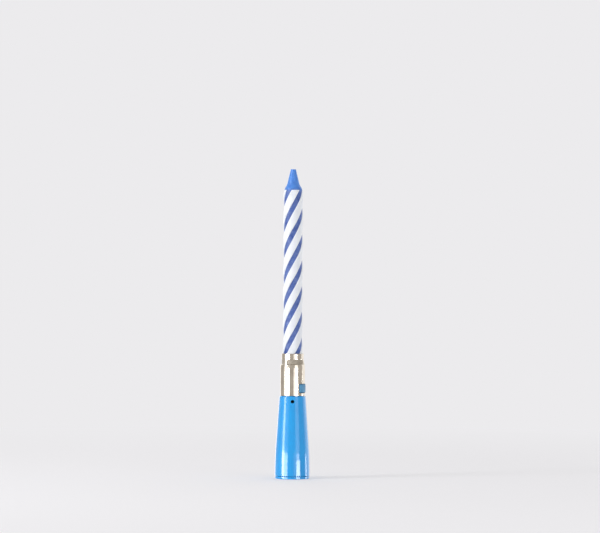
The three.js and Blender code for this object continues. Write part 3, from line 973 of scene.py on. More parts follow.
class Finishes:
    """Every finish of the candle, built once."""

    def __init__(self) -> None:
        """Builds the materials."""
        self.shell = Finish.made(
            "glossy blue plastic", "109be1", "0c92da", clouds=0.12, roughness=0.2, spread=0.06,
            grain=3.0, grain_depth=0.004, steady=GLOSS,
        )
        self.tab = Finish.made(
            "dull blue plastic", "4d93bd", "447fa8", clouds=0.5, roughness=0.42, spread=0.14,
            grain=6.0, grain_depth=0.012,
        )
        self.socket = SocketSteel.made(
            "nickel plated steel", "d8d2c8", "c9c2b7", clouds=0.3, roughness=0.085, spread=0.05,
            grain=2.0, grain_depth=0.006, steady=METAL,
        )
        self.blue_wax = BlueWax.made(
            "blue wax", "5871af", "334e94", clouds=0.5, roughness=0.42, spread=0.14, grain=3.5,
            grain_depth=0.03, steady=WAXY,
        )
        self.white_wax = Finish.made(
            "white wax", "e5e8ec", "dce0e7", clouds=0.3, roughness=0.38, grain=3.0,
            grain_depth=0.025, steady=WAXY,
        )
        self.cotton = Braid.made(
            "braided cotton", "efe9da", "dcd3bd", clouds=3.0, roughness=0.9, spread=0.1,
            grain_depth=0.06,
        )
        self.clear = Finish.made(
            "clear plastic", "f2f7fa", "e6eff4", roughness=0.06, spread=0.04, grain=1.0,
            grain_depth=0.003, steady=CLEAR,
        )
        self.fibre = Finish.made(
            "light fibre", "f4f6f2", "e9ede8", roughness=0.12, spread=0.05, grain=4.0,
            grain_depth=0.003, steady=MILKY,
        )
        self.brass = Finish.made(
            "rolled brass", "d3ab63", "b98f49", clouds=0.8, roughness=0.3, spread=0.14,
            marks=1.0, grain=8.0, grain_depth=0.006, steady=METAL,
        )
        self.silvered = Finish.made(
            "silvered ceramic", "dcdcda", "c6c7c8", clouds=1.2, roughness=0.42, grain=10.0,
            steady=SILVER,
        )
        self.cradle = Finish.made(
            "natural moulded plastic", "e6e5df", "dad8cf", clouds=0.2, roughness=0.46,
            grain=7.0, grain_depth=0.012, steady=MOULDED,
        )
        self.cell = Finish.made(
            "plated cell steel", "d6d6d3", "bfc0be", clouds=0.6, roughness=0.24, marks=1.2,
            grain_depth=0.005, steady=METAL,
        )
        self.gasket = Finish.made("green gasket", "2f7d57", "27694a", roughness=0.5)
        self.laminate = Finish.made(
            "paper laminate", "a9793c", "8f622c", clouds=1.6, roughness=0.5, spread=0.16,
            grain=9.0, grain_depth=0.012,
        )
        self.copper = Finish.made(
            "tinned copper", "cfc8bb", "c49a6c", clouds=1.5, roughness=0.32, spread=0.16,
            marks=1.5, grain=8.0, grain_depth=0.012, steady=METAL,
        )
        self.solder = Finish.made(
            "solder", "c9c9c6", "a3a4a3", clouds=2.0, roughness=0.3, spread=0.2, marks=2.0,
            grain=6.0, grain_depth=0.03, steady=METAL,
        )
        self.epoxy = Finish.made(
            "black epoxy", "171718", "0e0e0f", clouds=0.8, roughness=0.24, spread=0.16,
            grain=2.5, grain_depth=0.02, steady=GLASSY,
        )
        self.moulding = Finish.made(
            "black moulding compound", "1d1d1e", "141415", clouds=2.0, roughness=0.55,
            spread=0.14, grain=12.0, grain_depth=0.015,
        )
        self.dipped = Finish.made(
            "dipped orange lacquer", "c8732b", "b4601d", clouds=0.8, roughness=0.28,
            spread=0.16, grain=3.0, grain_depth=0.03,
        )
        vinyl = {"clouds": 0.6, "spread": 0.14, "grain": 6.0, "grain_depth": 0.012}
        self.red = Finish.made("red vinyl", "c0231a", "a81b14", roughness=0.44, **vinyl)
        self.black = Finish.made("black vinyl", "1d1d1e", "141415", roughness=0.46, **vinyl)


# Shell, socket and tab


@dataclass
class BaseShell:
    """The tapered plastic base with the neck that the socket slides over."""

    finishes: Finishes
    foot: float = low_of("base_shell", Z)
    neck_top: float = high_of("base_shell", Z)
    neck_height: float = 7.0
    foot_radius: float = high_of("base_shell", X)
    mouth_radius: float = 5.3
    wall: float = 1.0
    roof: float = 1.1
    curved_share: float = 0.417
    neck_radius: float = 4.4
    neck_bore: float = 3.4
    neck_roof: float = 1.0
    light_hole: float = 1.0
    vent_radius: float = 0.7
    vent_drop: float = 2.1
    slot_turn: float = math.radians(64)
    slot_width: float = 5.4
    slot_room: float = 0.3
    slot_foot: float = low_of("lock_tab", Z) - slot_room
    slot_top: float = high_of("lock_tab", Z) + slot_room
    mouth_round: float = 0.35
    foot_round: float = 0.16
    edge: float = 0.2
    overrun: float = 1.0
    rows: int = 56

    @property
    def top(self) -> float:
        """The mouth's height, where the neck starts."""
        return self.neck_top - self.neck_height

    def radius(self, height: Array) -> Array:
        """The outer radius: upright at the foot, a parabola, then a straight taper to the mouth.

        Args:
            height: The heights, from the foot to the mouth.

        Returns:
            The radius at each height.
        """
        curved = (self.top - self.foot) * self.curved_share
        straight = (self.top - self.foot) - curved
        bend = (self.foot_radius - self.mouth_radius) / (curved**2 + 2 * curved * straight)
        rise = height - self.foot
        bent = np.minimum(rise, curved)
        return self.foot_radius - bend * (bent**2 + 2 * curved * (rise - bent))

    def wall_rows(self, heights: Array, inset: float) -> list[tuple[float, float, float]]:
        """Corners without rounding along the taper, an inset inside its outer radius."""
        return [(float(self.radius(height)) - inset, height, 0) for height in heights]

    def profile(self) -> Array:
        """The wall's closed outline, from the foot up the outside and down the hollow.

        Returns:
            The outline's points of radius and height.
        """
        start, end = self.foot + 2 * self.foot_round, self.top - 2 * self.mouth_round
        ceiling = self.top - self.roof
        inside = np.linspace(ceiling - self.wall, start, self.rows // 2)
        under = self.neck_top - self.neck_roof
        fine = self.edge / 2
        return rounded([
            (float(self.radius(self.foot)), self.foot, self.foot_round),
            *self.wall_rows(np.linspace(start, end, self.rows), 0.0),
            (self.mouth_radius, self.top, self.mouth_round),
            (self.neck_radius, self.top, fine),
            (self.neck_radius, self.neck_top, self.edge),
            (self.light_hole, self.neck_top, fine),
            (self.light_hole, under, fine),
            (self.neck_bore, under, self.edge),
            (self.neck_bore, ceiling, self.edge),
            (float(self.radius(ceiling)) - self.wall, ceiling, self.edge),
            *self.wall_rows(inside, self.wall),
            (self.foot_radius - self.wall, self.foot, fine),
        ], closed=True)

    def build(self) -> None:
        """Builds the shell with its vent and the slot for the tab's tongue."""
        piece = new_object("shell_moulding", lathe(self.profile(), closed=True))
        vent = disc(self.vent_radius, 0, self.foot_radius, 0, SMALL_SIDES).laid_back()
        carve(piece, vent.moved(z=self.top - self.vent_drop))
        half = self.slot_width / 2
        outside, inside = -self.neck_radius - self.overrun, self.overrun - self.neck_bore
        slot = block((-half, outside, self.slot_foot), (half, inside, self.slot_top), self.edge)
        carve(piece, slot.turned(self.slot_turn))
        fit(piece, self.finishes.shell, Body.SHELL, "blue_plastic", "base_shell")


@dataclass
class MetalSocket:
    """The plated sleeve with its narrower collar, three crimps and the tab's window."""

    finishes: Finishes
    foot: float = low_of("metal_socket", Z)
    top: float = high_of("metal_socket", Z)
    radius: float = 4.95
    collar_radius: float = 4.45
    wall: float = 0.25
    collar_height: float = 2.2
    taper_height: float = 3.5
    crimp_height: float = 2.35
    crimp_floor: float = 4.31
    crimp_count: int = 3
    crimp_arc: float = math.radians(104)
    crimp_turn: float = math.radians(18)
    crimp_end: float = math.radians(9)
    crimp_slope_share: float = 0.45
    window_turn: float = math.radians(64)
    window_width: float = 5.3
    window_foot: float = 34.4
    window_height: float = 3.8
    window_round: float = 0.45
    lip: float = 0.1
    overrun: float = 1.0
    sides: int = 288
    sleeve_rows: int = 24
    pressed_rows: int = 72
    collar_rows: int = 14

    @property
    def collar_foot(self) -> float:
        """The height where the collar starts, over the crimps."""
        return self.top - self.collar_height

    def crimp(self, turn: Array, height: Array) -> Array:
        """How deep the crimps are pressed: flat floors with sloping sides and ends.

        Args:
            turn: Turns from the front.
            height: Heights, which broadcast with them.

        Returns:
            The depth at each, from 0, untouched, to 1, the floor.
        """
        half = self.crimp_height / 2
        across = (height - (self.collar_foot - half)) / half
        upright = smooth(1 - np.abs(across), 0.0, self.crimp_slope_share)
        sector = 2 * math.pi / self.crimp_count
        offset = np.mod(turn - self.crimp_turn + sector / 2, sector) - sector / 2
        return upright * smooth(self.crimp_arc / 2 - np.abs(offset), 0.0, self.crimp_end)

    def outer(self, turn: Array, height: Array) -> Array:
        """The outer radius, narrowing from sleeve to collar and pressed in at the crimps.

        Args:
            turn: Turns from the front.
            height: Heights, which broadcast with them.

        Returns:
            The radius at each.
        """
        narrowing = smooth(height, self.collar_foot - self.taper_height, self.collar_foot)
        plain = self.radius + (self.collar_radius - self.radius) * narrowing
        depth = self.crimp(turn, height)
        return plain + (self.crimp_floor - plain) * depth

    def sleeve(self) -> Shape:
        """The sleeve: (turn, height) goes to the outer radius less an inset, round the wall.

        Returns:
            The sleeve, with the depth of its crimps as the mark crimp.
        """
        collar_foot, lip = self.collar_foot, self.lip
        taper_foot = collar_foot - self.taper_height
        ease = lip * (1 - np.cos(quarter(ROUND_STEPS)))
        rim = lip * (1 - np.sin(quarter(ROUND_STEPS)))
        middle = np.concatenate([
            np.linspace(self.foot + 2 * lip, taper_foot - lip, self.sleeve_rows),
            np.linspace(taper_foot, collar_foot, self.pressed_rows),
            np.linspace(collar_foot + lip, self.top - 2 * lip, self.collar_rows),
        ])
        heights = np.concatenate([
            self.foot + ease, middle, self.top - ease[::-1],
            self.top - ease, middle[::-1], self.foot + ease[::-1],
        ])
        insets = np.concatenate([
            rim, 0 * middle, rim[::-1],
            self.wall - rim, 0 * middle + self.wall, self.wall - rim[::-1],
        ])
        turn, height = circle(self.sides)[None, :], heights[:, None]
        radius = self.outer(turn, height) - insets[:, None]
        shape = skin(polar(radius, turn, height), Ends.JOINED)
        shape.marks["crimp"] = self.crimp(turn, height).reshape(-1)
        return shape

    def build(self) -> None:
        """Builds the sleeve and cuts its window."""
        piece = new_object("socket_sleeve", self.sleeve())
        half, window_top = self.window_width / 2, self.window_foot + self.window_height
        outside, inside = -self.radius - self.overrun, -self.radius + 2 * self.overrun
        corners = (-half, outside, self.window_foot), (half, inside, window_top)
        carve(piece, block(*corners, self.window_round).turned(self.window_turn))
        fit(piece, self.finishes.socket, Body.SHELL, "socket_steel", "metal_socket")


@dataclass
class LockTab:
    """The springy tongue in the neck, with the head that fills the socket's window."""

    finishes: Finishes
    turn: float = math.radians(64)
    width: float = 4.8
    bore: float = 3.4
    tongue_radius: float = 4.4
    head_radius: float = 5.23
    tongue_foot: float = low_of("lock_tab", Z)
    tongue_top: float = high_of("lock_tab", Z)
    head_foot: float = 34.65
    head_top: float = 37.95
    tongue_round: float = 0.12
    head_round: float = 0.3
    strips: tuple[int, int, int] = (16, 1, 4)

    def build(self) -> None:
        """Builds the tongue and its head as one piece."""
        half, back = self.width / 2, self.bore + self.tongue_round
        tongue = block(
            (-half, self.bore, self.tongue_foot), (half, self.tongue_radius, self.tongue_top),
            self.tongue_round, self.strips,
        )
        head = block(
            (-half, back, self.head_foot), (half, self.head_radius, self.head_top),
            self.head_round, self.strips,
        )
        shape = crowned(joined([tongue, head])).turned(self.turn)
        dress("tab_tongue", shape, self.finishes.tab, Body.TAB, "blue_plastic", "lock_tab")


# Candle


@dataclass
class WaxCandle:
    """The wax: a blue core with four white bands, and the wick with its light fibre.

    A wave of the wax's unevenness goes round a number of times, climbs by an angle in each
    millimetre, and starts at a number of times its piece's seed.
    """

    finishes: Finishes
    foot: float = low_of("wax_core", Z)
    top: float = high_of("wax_core", Z)
    radius: float = 3.93
    band_seat: float = 3.44
    band_inner: float = 3.4
    groove: float = 3.63
    groove_hollow: float = 0.06
    band_count: int = 4
    band_share: float = 0.6
    pitch: float = 41.6
    phase: float = math.radians(12.7)
    phase_drop: float = 8.7
    tip_height: float = 10.3
    band_end: float = 116.05
    cut_blur: float = 1.0
    shoulder: float = 0.3
    seat_ramp: float = math.radians(1.2)
    seat_sides: int = 9
    groove_sides: int = 17
    shoulder_sides: int = 7
    band_sides: int = 13
    waver: float = 0.02
    sway: float = math.radians(0.9)
    swell: float = 0.02
    swell_climb: float = 0.41
    waves: tuple[Spot, ...] = ((2, 0.31, 1.0), (3, -0.17, 2.3), (0, 0.73, 5.1))
    core_seed: float = 0.4
    band_seed: float = 1.7
    wick_bore: float = 0.36
    wick_radius: float = 0.62
    wick_bevel: float = 0.08
    wick_lobe: float = 0.04
    wick_lobes: int = 8
    wick_pitch: float = 9.0
    fibre_radius: float = 0.25
    fibre_recess: float = 0.25
    fibre_round: float = 0.04
    row_step: float = 0.35
    tip_shares: tuple[tuple[float, float], ...] = (
        (0.0, 1.0), (0.1, 0.985), (0.2, 0.93), (0.29, 0.82), (0.36, 0.7), (0.44, 0.61),
        (0.583, 0.52), (0.748, 0.415), (0.88, 0.33), (1.0, 0.27),
    )

    def twist(self, height: Array) -> Array:
        """The turn of the first band's middle: it climbs to the right, once round in a pitch."""
        return self.phase + 2 * math.pi * (height - (self.top - self.phase_drop)) / self.pitch

    def sharpened(self, height: Array) -> Array:
        """The radius that sharpening leaves, a little over the wax's below the end.

        Args:
            height: The heights.

        Returns:
            The radius at each height.
        """
        heights, radii = np.array(self.tip_shares).T
        sharp = np.interp((height - self.top) / self.tip_height + 1, heights, radii) * self.radius
        return np.where(height < self.top - self.tip_height, self.radius + self.shoulder, sharp)

    def heights(self, foot: float, top: float) -> Array:
        """Even rows from foot to top, as a column."""
        return np.linspace(foot, top, math.ceil((top - foot) / self.row_step) + 1)[:, None]

    def uneven(self, turn: Array, height: Array, seed: float) -> Array:
        """Slow unevenness, -1 to 1: the mean of the sines of the waves."""
        sines = [np.sin(n * turn + climb * height + s * seed) for n, climb, s in self.waves]
        return sum(sines) / len(sines)

    def section(self) -> tuple[Array, Array]:
        """The core's outline: for each band a flat seat, then a hollow groove (a parabola).

        Returns:
            The turn and the radius of each point.
        """
        sector = 2 * math.pi / self.band_count
        seat = sector * self.band_share / 2
        inside = np.linspace(self.seat_ramp - seat, seat - self.seat_ramp, self.seat_sides)
        outside = np.linspace(seat, sector - seat, self.groove_sides)
        share = (outside - sector / 2) / (sector / 2 - seat)
        hollow = self.groove - self.groove_hollow * (1 - share**2)
        middles = sector * np.arange(self.band_count)[:, None]
        turns = (middles + np.concatenate([inside, outside])).reshape(-1)
        radii = np.concatenate([0 * inside + self.band_seat, hollow])
        return turns, np.tile(radii, self.band_count)

    def core(self) -> Shape:
        """The core: its section is turned by the twist and held to the sharpened radius.

        Returns:
            The core with its wick hole, and the mark cut where its end was sharpened.
        """
        turns, radii = self.section()
        height = self.heights(self.foot, self.top)
        turn = turns[None, :] + self.twist(height)
        wavy = radii[None, :] + self.waver * self.uneven(turn, height, self.core_seed)
        rows = polar(np.minimum(wavy, self.sharpened(height)), turn, height)
        ends = [-1, -1, 0, 0]
        wide = self.wick_radius + self.wick_bevel
        reach = np.array([wide, self.wick_radius, self.wick_radius, wide])[:, None]
        hole = polar(reach, turn[ends], height[ends])
        hole[1, :, Z] -= self.wick_bevel
        hole[2, :, Z] += self.wick_bevel
        shape = skin(np.concatenate([rows, hole]), Ends.JOINED)
        start, end = self.band_end - self.cut_blur, self.band_end + self.cut_blur
        cut = smooth(height + 0 * turn, start, end)
        shape.marks["cut"] = np.concatenate([cut, np.ones_like(hole[..., 0])]).reshape(-1)
        return shape

    def band(self, index: int) -> Shape:
        """One band: an arc with rounded shoulders, carried up the twist to the sharpened end.

        Args:
            index: Which band, from 0.

        Returns:
            The band.
        """
        middle = 2 * math.pi * index / self.band_count
        half = math.pi * self.band_share / self.band_count
        ease = self.shoulder / self.radius
        shoulder = half - ease * (1 - np.cos(quarter(self.shoulder_sides)))
        flat = np.linspace(-half + ease, half - ease, self.band_sides)[1:-1]
        offsets = np.concatenate([-shoulder, flat, shoulder[::-1]])
        depth = np.clip((np.abs(offsets) - (half - ease)) / ease, 0.0, 1.0)
        drop = self.shoulder * (1 - np.sqrt(1 - depth**2))
        height = self.heights(self.foot, self.band_end)
        seed = self.band_seed + index
        sway = self.sway * self.uneven(0 * height, height, seed)
        width = 1 + self.swell * np.sin(self.swell_climb * height + seed)
        turn = middle + offsets[None, :] * width + sway + self.twist(height)
        plain = self.radius - self.waver - drop[None, :]
        wavy = plain + self.waver * self.uneven(turn, height, seed)
        radius = np.minimum(wavy, self.sharpened(height))
        turns = np.concatenate([turn, turn[:, ::-1]], axis=1)
        radii = np.concatenate([radius, 0 * radius + self.band_inner], axis=1)
        return skin(polar(radii, turns, height), Ends.FOLDED)

    def wick(self) -> Shape:
        """The wick: a tube whose lobes, the strands of its braid, wind round it.

        Returns:
            The wick.
        """
        height = self.heights(self.foot, self.top)
        turn = circle(SMALL_SIDES)[None, :]
        wind = self.wick_lobes * (turn - 2 * math.pi * height / self.wick_pitch)
        outside = self.wick_radius - self.wick_lobe * (1 - np.abs(np.cos(wind / 2)))
        radius = np.concatenate([outside, 0 * outside + self.wick_bore])
        return skin(polar(radius, turn, np.concatenate([height, height[::-1]])), Ends.JOINED)

    def build(self) -> None:
        """Builds the core, the bands, the wick and the fibre."""
        looks, body = self.finishes, Body.CANDLE
        dress("wax_body", self.core(), looks.blue_wax, body, "blue_wax", "wax_core")
        for index in range(self.band_count):
            name, node = f"wax_band_{index + 1}", f"white_band_{index + 1}"
            dress(name, self.band(index), looks.white_wax, body, "white_wax", node)
        dress("wick_braid", self.wick(), looks.cotton, body, "wick_cotton", "wick")
        end = self.top - self.fibre_recess
        fibre = disc(self.fibre_radius, self.foot, end, self.fibre_round, TINY_SIDES)
        dress("fibre_strand", fibre, looks.fibre, body, "clear_plastic", "light_fibre")


# Base


@dataclass
class BottomCap:
    """The closure under the shell, with the sounder that lies in it."""

    finishes: Finishes
    radius: float = high_of("bottom_cap", X)
    edge: float = 0.3
    flange: float = 1.0
    spigot_top: float = high_of("bottom_cap", Z)
    spigot_radius: float = 5.75
    spigot_bore: float = 4.95
    bead: float = 0.18
    bead_height: float = 0.8
    seat_top: float = 1.6
    seat_width: float = 0.9
    hole_radius: float = 0.45
    hole_circle: float = 2.3
    hole_count: int = 6
    hole_sides: int = 32
    plate_radius: float = high_of("sounder_plate", X)
    plate_top: float = high_of("sounder_plate", Z)
    ceramic_radius: float = high_of("sounder_ceramic", X)
    ceramic_top: float = high_of("sounder_ceramic", Z)
    electrode_inset: float = 0.35
    electrode: float = 0.02
    small_edge: float = 0.05

    def profile(self) -> Array:
        """The cap's outline: flange, spigot with its bead, sounder seat and floor.

        Returns:
            The outline's points of radius and height.
        """
        bead = (self.flange + self.spigot_top) / 2
        seat = self.spigot_bore - self.seat_width
        fine = self.small_edge
        return rounded([
            (0, 0, 0),
            (self.radius, 0, self.edge),
            (self.radius, self.flange, self.edge / 2),
            (self.spigot_radius, self.flange, fine),
            (self.spigot_radius, bead - self.bead_height / 2, self.bead),
            (self.spigot_radius + self.bead, bead, self.bead),
            (self.spigot_radius, bead + self.bead_height / 2, self.bead),
            (self.spigot_radius, self.spigot_top, 2 * fine),
            (self.spigot_bore, self.spigot_top, 2 * fine),
            (self.spigot_bore, self.seat_top, fine),
            (seat, self.seat_top, fine),
            (seat, self.flange, fine),
            (0, self.flange, 0),
        ])

    def build(self) -> None:
        """Builds the cap with its sound holes, and the sounder's plate and ceramic."""
        cap = new_object("cap_moulding", lathe(self.profile()))
        drill = disc(self.hole_radius, -self.flange, 2 * self.flange, 0, self.hole_sides)
        drill = drill.moved(y=self.hole_circle)
        carve(cap, joined([drill.turned(turn) for turn in circle(self.hole_count)]))
        fit(cap, self.finishes.shell, Body.BASE, "blue_plastic", "bottom_cap")
        plate = disc(self.plate_radius, self.seat_top, self.plate_top, self.small_edge)
        dress("sounder_disc", plate, self.finishes.brass, Body.BASE, "brass", "sounder_plate")
        body_top = self.ceramic_top - self.electrode
        ceramic = disc(self.ceramic_radius, self.plate_top, body_top, self.small_edge)
        reach = self.ceramic_radius - self.electrode_inset
        coating = disc(reach, self.plate_top, self.ceramic_top, self.electrode / 2)
        element = joined([ceramic, coating])
        slot, node = "piezo_ceramic", "sounder_ceramic"
        dress("sounder_element", element, self.finishes.silvered, Body.BASE, slot, node)


@dataclass
class PowerCell:
    """The two button cells, the cradle round them and their contacts."""

    finishes: Finishes
    foot: float = low_of("cell_lower", Z)
    radius: float = high_of("cell_lower", X)
    height: float = high_of("cell_lower", Z) - low_of("cell_lower", Z)
    cap_height: float = 0.7
    cap_radius: float = 3.35
    cap_round: float = 0.25
    cap_crown_share: float = 0.72
    crown_round: float = 0.1
    can_round: float = 0.35
    curl: float = 0.22
    ring_round: float = 0.05
    ring_crown: float = 0.08
    cradle_radius: float = high_of("battery_cradle", Y)
    cradle_bore: float = 4.25
    cradle_foot: float = low_of("battery_cradle", Z)
    cradle_floor: float = low_of("contact_lower", Z)
    bridge_foot: float = 12.0
    bridge_top: float = high_of("battery_cradle", Z)
    channel_half: float = 1.3
    channel_depth: float = 3.2
    board_face: float = low_of("circuit_board", Y)
    board_back: float = high_of("circuit_board", Y)
    board_foot_half: float = 2.5
    snug: float = 0.1
    slot_round: float = 0.04
    tab_gap: float = 0.3
    tab_hole_front: float = -0.3
    sheet: float = 0.25
    lower_radius: float = 3.2
    upper_radius: float = 2.9
    tab_width: float = 2.0
    strip_face: float = 4.35
    strip_top: float = high_of("contact_lower", Z)
    tab_top: float = high_of("contact_upper", Z)
    overrun: float = 1.0
    bevel: float = 0.12
    bevel_steps: int = 2
    bevel_angle: float = math.radians(50)

    def can(self) -> Shape:
        """The can: a rounded foot, an upright wall and a rim curled in over the gasket.

        Returns:
            The can, standing on the table.
        """
        shoulder, half = self.height - self.cap_height, self.curl / 2
        return lathe(rounded([
            (0, 0, 0),
            (self.radius - self.can_round / 2, 0, self.can_round),
            (self.radius, self.can_round, self.can_round / 2),
            (self.radius, shoulder, self.curl),
            (self.cap_radius + self.curl, shoulder + half, half),
            (self.cap_radius + half, shoulder - half, 0),
            (0, shoulder - half, 0),
        ]))

    def gasket(self) -> Shape:
        """The gasket ring between can and cap, with a crowned top.

        Returns:
            The ring, at the height that it has in a cell on the table.
        """
        shoulder = self.height - self.cap_height
        inner, outer = self.cap_radius - self.curl, self.cap_radius + self.curl
        return lathe(rounded([
            (inner, shoulder - self.curl, 0),
            (outer, shoulder - self.curl, 0),
            (outer, shoulder, self.ring_round),
            (self.cap_radius, shoulder + self.curl, self.ring_crown),
            (inner, shoulder + self.curl, self.ring_round),
        ], closed=True), closed=True)

    def cap(self) -> Shape:
        """The cap: a low dome with a flat crown.

        Returns:
            The cap, at the height that it has in a cell on the table.
        """
        foot, reach = self.height - self.cap_height - self.curl, self.cap_radius - self.curl / 2
        return lathe(rounded([
            (0, foot, 0),
            (reach, foot, 0),
            (reach, self.height - self.snug, self.cap_round),
            (self.cap_radius * self.cap_crown_share, self.height, self.crown_round),
            (0, self.height, 0),
        ]))

    def build_cells(self) -> None:
        """Builds each cell as a can, a gasket ring and a cap."""
        can, gasket, cap = self.can(), self.gasket(), self.cap()
        steel, rubber = self.finishes.cell, self.finishes.gasket
        for index, name in enumerate(("lower", "upper")):
            rise = self.foot + index * self.height
            node = f"cell_{name}"
            dress(f"cell_can_{name}", can.moved(z=rise), steel, Body.BASE, "cell_steel", node)
            ring = gasket.moved(z=rise)
            dress(f"cell_gasket_{name}", ring, rubber, Body.BASE, "cradle_plastic")
            dress(f"cell_cap_{name}", cap.moved(z=rise), steel, Body.BASE, "cell_steel")

    def build_cradle(self) -> None:
        """Builds the cage round the cells and cuts its cell space, channels and slots."""
        cage = disc(self.cradle_radius, self.cradle_foot, self.bridge_top, 0)
        piece = new_object("cradle_moulding", cage)
        past = self.cradle_radius + self.overrun
        top, under = self.bridge_top + self.overrun, self.bridge_foot - self.overrun
        lead_foot = self.cradle_foot - self.overrun
        half, slot = self.channel_half, self.board_foot_half + self.snug
        slot_front, slot_back = self.board_face - self.snug, self.board_back + self.snug
        carve(piece, disc(self.cradle_bore, self.cradle_floor, self.bridge_foot, 0))
        for foot, end, rounding in (
            ((self.channel_depth, -half, self.cradle_floor), (past, half, top), self.bevel),
            ((-past, -half, lead_foot), (-self.channel_depth, half, top), self.bevel),
            ((-slot, slot_front, under), (slot, slot_back, top), self.slot_round),
            ((-half, self.tab_hole_front, under), (half, self.board_face, top), self.slot_round),
        ):
            carve(piece, block(foot, end, rounding))
        edges = piece.modifiers.new("edges", "BEVEL")
        edges.width, edges.segments = self.bevel * MILLIMETRE, self.bevel_steps
        edges.limit_method, edges.angle_limit = "ANGLE", self.bevel_angle
        fit(piece, self.finishes.cradle, Body.BASE, "cradle_plastic", "battery_cradle")

    def build_contacts(self) -> None:
        """Builds the lower contact with its strip and the upper one with its tab."""
        half, thin = self.tab_width / 2, self.sheet / 4
        under, over = self.cradle_floor, self.foot + 2 * self.height
        strip_end, inset = self.strip_face + self.sheet, thin / 4
        arm_end = (strip_end - thin, half, under + self.sheet - inset)
        lower = joined([
            disc(self.lower_radius, under, under + self.sheet, thin),
            block((0, -half, under + inset), arm_end, thin),
            block((self.strip_face, -half, under), (strip_end, half, self.strip_top), thin),
        ])
        brass = self.finishes.brass
        dress("contact_strip", lower, brass, Body.BASE, "brass", "contact_lower")
        tab_back = self.board_face - self.tab_gap
        tab_foot = (-half, tab_back - self.sheet, over + thin)
        upper = joined([
            disc(self.upper_radius, over, over + self.sheet, thin),
            block(tab_foot, (half, tab_back, self.tab_top), thin),
        ])
        dress("contact_spring", upper, brass, Body.BASE, "brass", "contact_upper")

    def build(self) -> None:
        """Builds the cells, the cradle and the contacts."""
        self.build_cells()
        self.build_cradle()
        self.build_contacts()


@dataclass(frozen=True)
class Drop:
    """A drop of solder: a bell, whose radius at share t of the way in is r (1 - narrowing t).

    Its height there is h t^power. It closes on the axis at its tip, and sunk under the face.
    """

    radius: float
    height: float
    tip: float
    sunk: float
    narrowing: float
    power: float
    rows: int = 9

    def shape(self) -> Shape:
        """The drop, on a face at height zero.

        Returns:
            The drop, its foot sunk in the face.
        """
        way = np.linspace(0.0, 1.0, self.rows)
        radius, rise = self.radius * (1 - self.narrowing * way), self.height * way**self.power
        bell = np.stack([radius, rise], axis=1)
        return lathe(np.concatenate([[[0, -self.sunk]], bell, [[0, self.tip]]]), TINY_SIDES)


# Circuit


@dataclass
class OnBoard:
    """What the pieces on the board share: its size, the heights of joints, wire and solder."""

    finishes: Finishes
    half_width: float = high_of("circuit_board", X)
    face: float = low_of("circuit_board", Y)
    back: float = high_of("circuit_board", Y)
    gap: float = 0.3
    wire: float = 0.16
    sunk: float = 0.1
    leg_foot: float = low_of("sensor_leg_left", Z)
    leg_spacing: float = 2.54
    solder_height: float = 16.3
    drop: Drop = Drop(radius=0.5, height=0.42, tip=0.46, sunk=0.1, narrowing=0.75, power=1.6)

    def solder_drop(self, x: float, z: float, behind: bool) -> Shape:
        """A drop of solder on the board.

        Args:
            x: Its place across the board.
            z: Its height.
            behind: Whether it lies on the board's back.

        Returns:
            The drop.
        """
        drop = self.drop.shape().laid_back()
        if behind:
            return drop.turned(math.pi).moved(x, self.back, z)
        return drop.moved(x, self.face, z)

    def soldered(self, name: str, parts: list[Shape], *nodes: str) -> None:
        """Builds bare metal parts as one piece."""
        dress(name, joined(parts), self.finishes.solder, Body.BASE, "leg_wire", *nodes)


